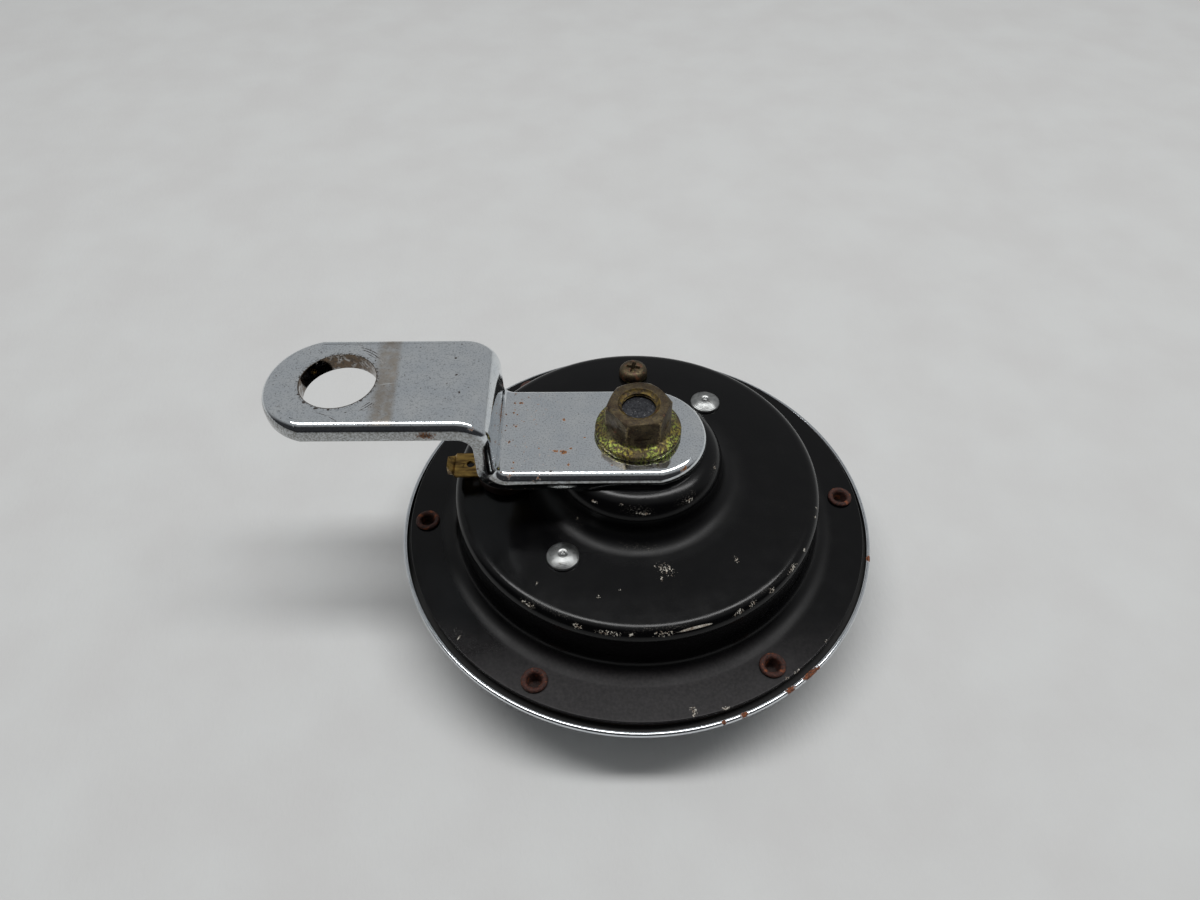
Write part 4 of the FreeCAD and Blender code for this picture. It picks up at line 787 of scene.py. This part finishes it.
def makeCover():
    look = coverLook
    flat, mouth, depth, sheet, ledge = look["flat"], look["mouth"], look["depth"], look["sheet"], look["ledge"]
    lip, lipTop, steps = look["lip"], look["lipTop"], look["bowSteps"]
    bow = ((mouth - flat) ** 2 + depth ** 2) / (2 * depth)  # radius of the dished part
    innerMouth = flat + math.sqrt((bow - sheet) ** 2 - (bow - depth - sheet) ** 2)
    outer = [(0, 0), (flat - 0.2, 0), (flat, 0)]
    outer += arcPoints((flat, bow), (flat, 0), (mouth, depth), steps)
    rim = roundCorners([
        (mouth + 0.3, depth), (lip - 1.6, depth, 0.6), (lip, lipTop - 0.8, 0.2), (lip - 0.1, lipTop, 0.5),
        (lip - 1.0, lipTop + 0.02, 0.25), (lip - 1.0, ledge), (innerMouth + 0.3, ledge),
    ])
    inner = [(innerMouth, ledge)] + arcPoints((flat, bow), (innerMouth, ledge), (flat, sheet), steps)
    inner += [(flat - 0.2, sheet), (0, sheet)]
    piece = spinRound("frontCover", outer + rim + inner, look["sides"], closed=False)
    slot = cylinder("slot", look["slotWidth"] / 2, -2, 16, look["slotStart"], 0, 24)
    selectVertices(slot, lambda spot: spot.x > look["slotStart"] + 0.01)
    bpy.ops.transform.translate(value=(look["slotLength"] * mm, 0, 0))
    leaveEdit()
    slots = joinPieces(copyRound(slot, look["slots"]), "slots")
    combine(piece, joinPieces([slots, flangeHoles(13, 16)], "cuts"))
    chrome = brightChrome("pressedCoverChrome", chromeSpots["lipRust"], 0.08)
    settle(piece, "housing", "front_cover", chrome)


def makeFlangeRivets():
    # rolled end: up the shank, over a fat lip and down into the hollow
    shank = [(0, 13.2), (2.4, 13.2), (2.9, 13.4), (3.1, 13.8), (3.1, 14.2), (1.9, 14.2), (1.9, 17.6)]
    roll = [
        (2.55, 17.6), (2.68, 17.78), (2.7, 18.0), (2.6, 18.22), (2.4, 18.36), (2.15, 18.4), (1.9, 18.34),
        (1.7, 18.2), (1.55, 17.98), (1.46, 17.6),
    ]
    floor = [(1.45, 15.4), (1.2, 15.1), (0, 15.0)]
    middle = polar(0, rivetLook["circle"])
    rivet = spinRound("flangeRivet", shank + roll + floor, rivetLook["sides"], middle, closed=False)
    copies = copyRound(rivet, rivetLook["count"], rivetLook["turn"])
    steel = rustedSteel()
    for number, copy in enumerate(copies):
        copy.name = f"flangeRivet{number + 1}"
        settle(copy, "housing", "flange_rivets", steel, 50)


yokeRivetLook = {"circle": 27.1, "angles": (52.0, 235.0), "hole": 2.1, "ridges": 12, "sides": 64}


def makeYokeRivets():
    foot = [(0, 26.3), (2.2, 26.3), (2.8, 26.6), (3.0, 27.1), (3.0, 27.5), (2.0, 27.5), (2.0, 30.7)]
    dome = [(3.3, 30.7), (3.45, 30.8), (3.45, 31.1)]
    for step in range(1, yokeRivetLook["ridges"] + 1):  # a low cone with turned ridges
        part = step / yokeRivetLook["ridges"]
        ridge = 0.035 if step % 2 else -0.02
        dome.append((3.4 - 2.5 * part, 31.2 + 1.02 * math.sin(part * math.pi / 2) + ridge))
    pip = [(0.8, 32.12), (0.66, 32.1), (0.55, 32.22), (0.4, 32.36), (0.22, 32.4), (0.1, 32.33), (0, 32.3)]
    alloy = spunAluminium()
    for number, angle in enumerate(yokeRivetLook["angles"]):
        middle = polar(angle, yokeRivetLook["circle"])
        rivet = spinRound(f"yokeRivet{number + 1}", foot + dome + pip, yokeRivetLook["sides"], middle, closed=False)
        settle(rivet, "housing", "yoke_rivets", alloy, 50)


screwLook = {
    "y": 31.3, "hole": 2.2, "shank": 2.0, "tip": 17.3, "head": 3.4, "low": 30.75, "high": 33.25, "sides": 56,
    "armLength": 1.9, "armWidth": 0.5, "recess": 1.7, "turn": 12,
}


def makeScrew():
    look = screwLook
    y, shank, tip, head, low, high = (look[key] for key in ("y", "shank", "tip", "head", "low", "high"))
    corners = [(0, tip), (shank, tip, 0.4), (shank, low), (head, low, 0.25), (head, high, 1.6), (0, high)]
    outline = roundCorners(corners, 0.1)
    piece = spinRound("adjustingScrew", outline, look["sides"], (0, y), closed=False)
    arms = []
    for turn in (0, 90):
        length, width = look["armLength"], look["armWidth"]
        arm = block("arm", (-length, y - width, high - look["recess"]), (length, y + width, high + 0.4))
        selectVertices(arm, lambda spot: spot.z < high - 1)
        bpy.ops.transform.resize(value=(0.45, 0.6, 1))
        leaveEdit()
        activate(arm)
        angle = math.radians(turn + look["turn"])
        bpy.ops.transform.rotate(value=angle, orient_axis="Z", center_override=(0, y * mm, 0))
        applyPlace(arm)
        arms.append(arm)
    combine(arms[0], arms[1], "UNION")
    combine(piece, arms[0])
    bevelEdges(piece, 0.1, 2, 50)
    zinc = yellowZinc("yellowZincScrew", 31.2, [(0, y)], (0, y, 0.1), 0.54)
    settle(piece, "adjusting_screw", "adjusting_screw", zinc, 40)


bracketLook = {
    "low": 40.9, "lowTop": 44.5, "high": 55.8, "highTop": 59.4, "upright": -28.5, "thick": 3.6, "half": 12.75,
    "studMiddle": 1.3, "studEnd": 13.1, "holeMiddle": -60.8, "holeEnd": 13.3, "stripStart": 18, "stripEnd": -76.1,
    "holeX": -59.1, "hole": 7.5, "studHole": 4.2, "topBend": 6.6, "footBend": 2.2, "rolledEdge": 2.1, "edge": 0.3,
}


def makeBracket():
    look = bracketLook
    half, back = look["half"], look["upright"] - look["thick"]
    topSide = roundCorners([
        (look["stripStart"], look["lowTop"]), (look["upright"], look["lowTop"], look["footBend"]),
        (look["upright"], look["highTop"], look["topBend"]), (look["stripEnd"], look["highTop"]),
    ], 0, 7.5)
    underSide = roundCorners([
        (look["stripEnd"], look["high"]), (back, look["high"], look["topBend"] - look["thick"]),
        (back, look["low"], look["footBend"] + look["thick"]), (look["stripStart"], look["low"]),
    ], 0, 7.5)
    piece = drawLine("mountingBracket", topSide + underSide + [topSide[0]])
    editAll(piece)
    bpy.ops.mesh.remove_doubles(threshold=closeBy * mm)
    bpy.ops.mesh.edge_face_add()
    bpy.ops.transform.translate(value=(0, -half * mm, 0))
    bpy.ops.mesh.extrude_region_move(TRANSFORM_OT_translate={"value": (0, 2 * half * mm, 0)})
    leaveEdit()
    tidyMesh(piece)
    # plan view: a round end at the stud and one at the hole, as one block that the strip is kept inside
    plan = block("plan", (look["holeMiddle"], -half - 3, 38), (look["studMiddle"], half + 3, 62))
    for end in ("stud", "hole"):
        combine(plan, cylinder("end", look[end + "End"], 37, 63, look[end + "Middle"], 0, 128), "UNION")
    combine(piece, plan, "INTERSECT")
    combine(piece, cylinder("hole", look["hole"], 50, 62, look["holeX"], 0, 72))
    combine(piece, cylinder("hole", look["studHole"], 38, 48, 0, 0, 48))
    # the side that the punch came from is rolled over all round, the other side is nearly sharp
    editAll(piece)
    bpy.ops.mesh.select_mode(type="EDGE")
    bpy.ops.mesh.select_all(action="DESELECT")
    bpy.ops.mesh.edges_select_sharp(sharpness=math.radians(48))
    leaveEdit()
    for edge in piece.data.edges:
        ends = [piece.matrix_world @ piece.data.vertices[number].co / mm for number in edge.vertices]
        onTop = all(distanceToLine((end.x, end.z), topSide) < 0.02 for end in ends)
        fromHole = math.hypot(ends[0].x - look["holeX"], ends[0].y) - look["hole"]
        fromStudHole = math.hypot(ends[0].x, ends[0].y) - look["studHole"]
        edge.select = edge.select and onTop and min(fromHole, fromStudHole) > 0.5
    bpy.ops.object.mode_set(mode="EDIT")
    bpy.ops.mesh.bevel(offset=look["rolledEdge"] * mm, segments=6, miter_outer="ARC")
    leaveEdit()
    bevelEdges(piece, look["edge"], 3, 48)
    settle(piece, "housing", "mounting_bracket", agedChrome(), 38)


nutLook = {
    "flats": 12.0, "low": 44.5, "high": 52.5, "flange": 8.95, "face": 6.0, "cone": 2.4, "turn": 38.0, "sides": 96,
    "bore": [(4.03, 50.86), (3.5, 51.16), (3.95, 51.5), (3.5, 51.85), (4.05, 52.2), (4.35, 52.6)],
}


def makeNut():
    look = nutLook
    low, high, flange, sides = look["low"], look["high"], look["flange"], look["sides"]
    corner = look["flats"] / math.sqrt(3)
    hexagon = cylinder("flangeNut", corner, low + 0.6, high, sides=6)
    hexagon.rotation_euler.z = math.radians(look["turn"])
    applyPlace(hexagon)
    cone = [(0, low), (9, low), (9, high - look["cone"]), (look["face"], high), (0, high)]
    combine(hexagon, spinRound("cone", cone, sides, closed=False), "INTERSECT")
    bevelEdges(hexagon, 0.18, 2, 30)
    skirt = roundCorners([
        (0, low), (flange, low, 0.3), (flange, low + 1.15, 0.45),
        (6.9, low + 2.3, 1.2), (6.3, low + 3.6), (0, low + 3.6),
    ], 0)
    combine(hexagon, spinRound("skirt", skirt, sides, closed=False), "UNION")
    bore = [(0, low - 1), (look["bore"][0][0], low - 1)] + look["bore"] + [(0, look["bore"][-1][1])]
    combine(hexagon, spinRound("bore", bore, sides, closed=False))
    corners = [polar(90 + look["turn"] + 60 * number, corner) for number in range(6)]
    zinc = yellowZinc("yellowZincNut", 47.0, corners, (0, 0, 4.3), 0.64)
    settle(hexagon, "housing", "flange_nut", zinc, 34)


terminalLook = {
    "x": -28.5, "tip": -41.1, "half": 3.15, "low": 33.3, "high": 34.1, "seat": 5.0, "chamfer": 1.7,
    "rivetHole": 2.05, "latchX": -36.1, "latch": 0.9, "spigotHole": 4.0,
}


def makeTerminal():
    look = terminalLook
    low, high = look["low"], look["high"]
    piece = block("spadeTerminal", (look["tip"], -look["half"], low), (look["x"], look["half"], high))
    selectVertices(piece, lambda spot: spot.x < look["tip"] + 0.1)
    bpy.ops.mesh.select_mode(type="EDGE")
    leaveEdit()
    for edge in piece.data.edges:
        ends = [piece.matrix_world @ piece.data.vertices[number].co / mm for number in edge.vertices]
        upright = abs(ends[0].z - ends[1].z) > 0.1
        edge.select = upright and ends[0].x < look["tip"] + 0.1
    bpy.ops.object.mode_set(mode="EDIT")
    bpy.ops.mesh.bevel(offset=look["chamfer"] * mm, segments=1)
    leaveEdit()
    applyPlace(piece)
    combine(piece, cylinder("seat", look["seat"], low, high, look["x"], 0, 64), "UNION")
    combine(piece, cylinder("hole", look["rivetHole"], 30, 38, look["x"], 0, 40))
    combine(piece, cylinder("hole", look["latch"], 30, 38, look["latchX"], 0, 32))
    bevelEdges(piece, 0.14, 2, 40)
    brass = stampedBrass()
    settle(piece, "housing", "spade_terminal", brass, 35)
    rivet = roundCorners([
        (0, 17.1), (3.4, 17.1, 0.6), (3.4, 18.1), (2.0, 18.1),
        (2.0, high), (3.5, high, 0.15), (3.5, 35.3, 0.9), (0, 35.3),
    ], 0.1)
    piece = spinRound("terminalRivet", rivet, 56, (look["x"], 0), closed=False)
    settle(piece, "housing", "terminal_rivet", brass, 40)
    bore = look["rivetHole"]
    washer = roundCorners([
        (bore, 29.5), (3.9, 29.5, 0.15), (3.9, 30.7), (6.2, 30.7, 0.2), (6.2, low, 0.45), (bore, low),
    ], 0.1)
    piece = spinRound("terminalInsulator", washer, 64, (look["x"], 0))
    settle(piece, "housing", "terminal_insulator", phenolic(), 40)


# The diaphragm, slit round just outside its pressed ring: the middle lifts with the armature, the rim stays clamped
diaphragmLook = {
    "under": 15.5, "thick": 0.4, "depth": 0.8, "bore": 3.1, "inner": 27.5, "outer": 34.5, "rim": 51.0,
    "slit": 35.5, "slitWidth": 0.1, "sides": 128,
}


def makeDiaphragm(material):
    look = diaphragmLook
    under, low = look["under"], look["under"] - look["depth"]
    gap = look["slitWidth"] / 2
    middle = [
        (look["bore"], under), (look["inner"], under), (look["inner"] + look["depth"], low),
        (look["outer"] - look["depth"], low), (look["outer"], under), (look["slit"] - gap, under),
    ]
    rim = [(look["slit"] + gap, under), (look["rim"], under)]
    for name, body, points in (("diaphragmMiddle", "armature", middle), ("diaphragmRim", "housing", rim)):
        upperSide = [(radius, height + look["thick"]) for radius, height in reversed(points)]
        piece = spinRound(name, points + upperSide, look["sides"])
        if body == "housing":
            combine(piece, flangeHoles(15, 17))
        settle(piece, body, "diaphragm", material)


makeHousing()
makeCover()
makeFlangeRivets()
makeYokeRivets()
makeScrew()
makeBracket()
makeNut()
makeTerminal()
spring = springSteel()
makeDiaphragm(spring)

# The pieces that keep their CAD shape
paper, moulding = gasketPaper(), bpy.data.materials["mouldedPhenolic"]
softSteel = bareSteel("machinedSteel", "#8a8b8d", "#5f6062", "#5b3f2c", 2.5)
coreSteel = bareSteel("weatheredStudSteel", "#46474b", "#2b2c2f", "#8d8e90", 0.6)
tungsten, wire = groundTungsten(), enamelledWire()
cadFinishes = {
    "front_gasket": paper, "rear_gasket": paper, "contact_arm": spring, "tone_disc": spring,
    "fixed_contact_carrier": bpy.data.materials["stampedBrass"], "pole_core": coreSteel,
    "yoke_plate": softSteel, "armature": softSteel, "armature_rod": softSteel,
    "tone_disc_spacer": softSteel, "tone_disc_nut": softSteel,
    "coil_bobbin": mouldedNylon(), "coil_winding": wire, "contact_lead": wire, "earth_lead": wire,
    "contact_block": moulding, "contact_insulator": moulding, "push_pin": moulding,
    "fixed_contact": tungsten, "moving_contact": tungsten,
}
for node, material in cadFinishes.items():
    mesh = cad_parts[node].data
    mesh.materials.clear()
    mesh.materials.append(material)
print("finished", len(cadFinishes), "inner nodes")


# Floor, light and camera

floorLook = {"size": 3.0, "colour": "#cfd0cf", "patch": "#cbcbca"}


# Pale matt board: even, with a faint mottle
def paleBoard():
    material, place = newMaterial("paleMattBoard")
    patches = mottle(material, place, 25.0, 4.0, 0.35, 0.65)
    fibres = mottle(material, place, 1.2, 3.0, 0.3, 0.7, (1, 0.4, 1))
    colour = paint(material, patches, floorLook["colour"], floorLook["patch"])
    normal = bump(material, fibres, 0.03)
    return finishMaterial(material, colour, 0.7, normal, IOR=1.45)


clearSelection()
bpy.ops.mesh.primitive_plane_add(size=floorLook["size"])
floor = startPiece("floor")
floor.data.materials.append(paleBoard())

lightLook = {
    "room": (0.35, 0.355, 0.36, 1), "behindCamera": (0.03, 0.03, 0.032, 1), "place": (0.07, 0.09, 1.0),
    "width": 1.5, "depth": 0.17, "power": 8.7, "ahead": (0.1, 0.86, 0.5), "fade": (-0.14, 0.26),
}


# Pale room, darker low down behind the camera, as whoever holds it stands there
def softRoom():
    world = bpy.data.worlds.new("softRoom")
    world.use_nodes = True
    world.node_tree.nodes.clear()
    direction = addNode(world, "TexCoord", {}, take="Generated")
    inputs = {0: direction, 1: lightLook["ahead"]}
    ahead = addNode(world, "VectorMath", inputs, take="Value", operation="DOT_PRODUCT")
    inputs = {"Value": ahead, "From Min": lightLook["fade"][0], "From Max": lightLook["fade"][1]}
    share = addNode(world, "MapRange", inputs, interpolation_type="SMOOTHSTEP")
    inputs = {0: share, 6: lightLook["behindCamera"], 7: lightLook["room"]}
    colour = addNode(world, "Mix", inputs, take=2, data_type="RGBA")
    glow = addNode(world, "Background", {"Color": colour})
    addNode(world, "OutputWorld", {"Surface": glow})
    return world


scene = bpy.context.scene
scene.world = softRoom()
bpy.ops.object.light_add(type="AREA", location=lightLook["place"])
lamp = bpy.context.object
lamp.name = "softbox"
lamp.data.shape = "RECTANGLE"
lamp.data.size = lightLook["width"]
lamp.data.size_y = lightLook["depth"]
lamp.data.energy = lightLook["power"]

cameraLook = {
    "place": (-6.6, -121.9, 176.4), "right": (0.99995, 0, -0.00998), "up": (0.00661, 0.7494, 0.6620),
    "back": (0.00748, -0.6620, 0.7494), "lens": 25.905, "sensor": 36,
}
bpy.ops.object.camera_add()
camera = bpy.context.object
camera.name = "photoCamera"
axes = Matrix([cameraLook[key] for key in ("right", "up", "back")]).transposed().to_4x4()
camera.matrix_world = Matrix.Translation(Vector(cameraLook["place"]) * mm) @ axes
camera.data.sensor_width = cameraLook["sensor"]
camera.data.sensor_fit = "HORIZONTAL"
camera.data.lens = cameraLook["lens"]
camera.data.clip_start = 0.01
scene.camera = camera
scene.view_settings.view_transform = "Standard"
print("floor, light and camera set")
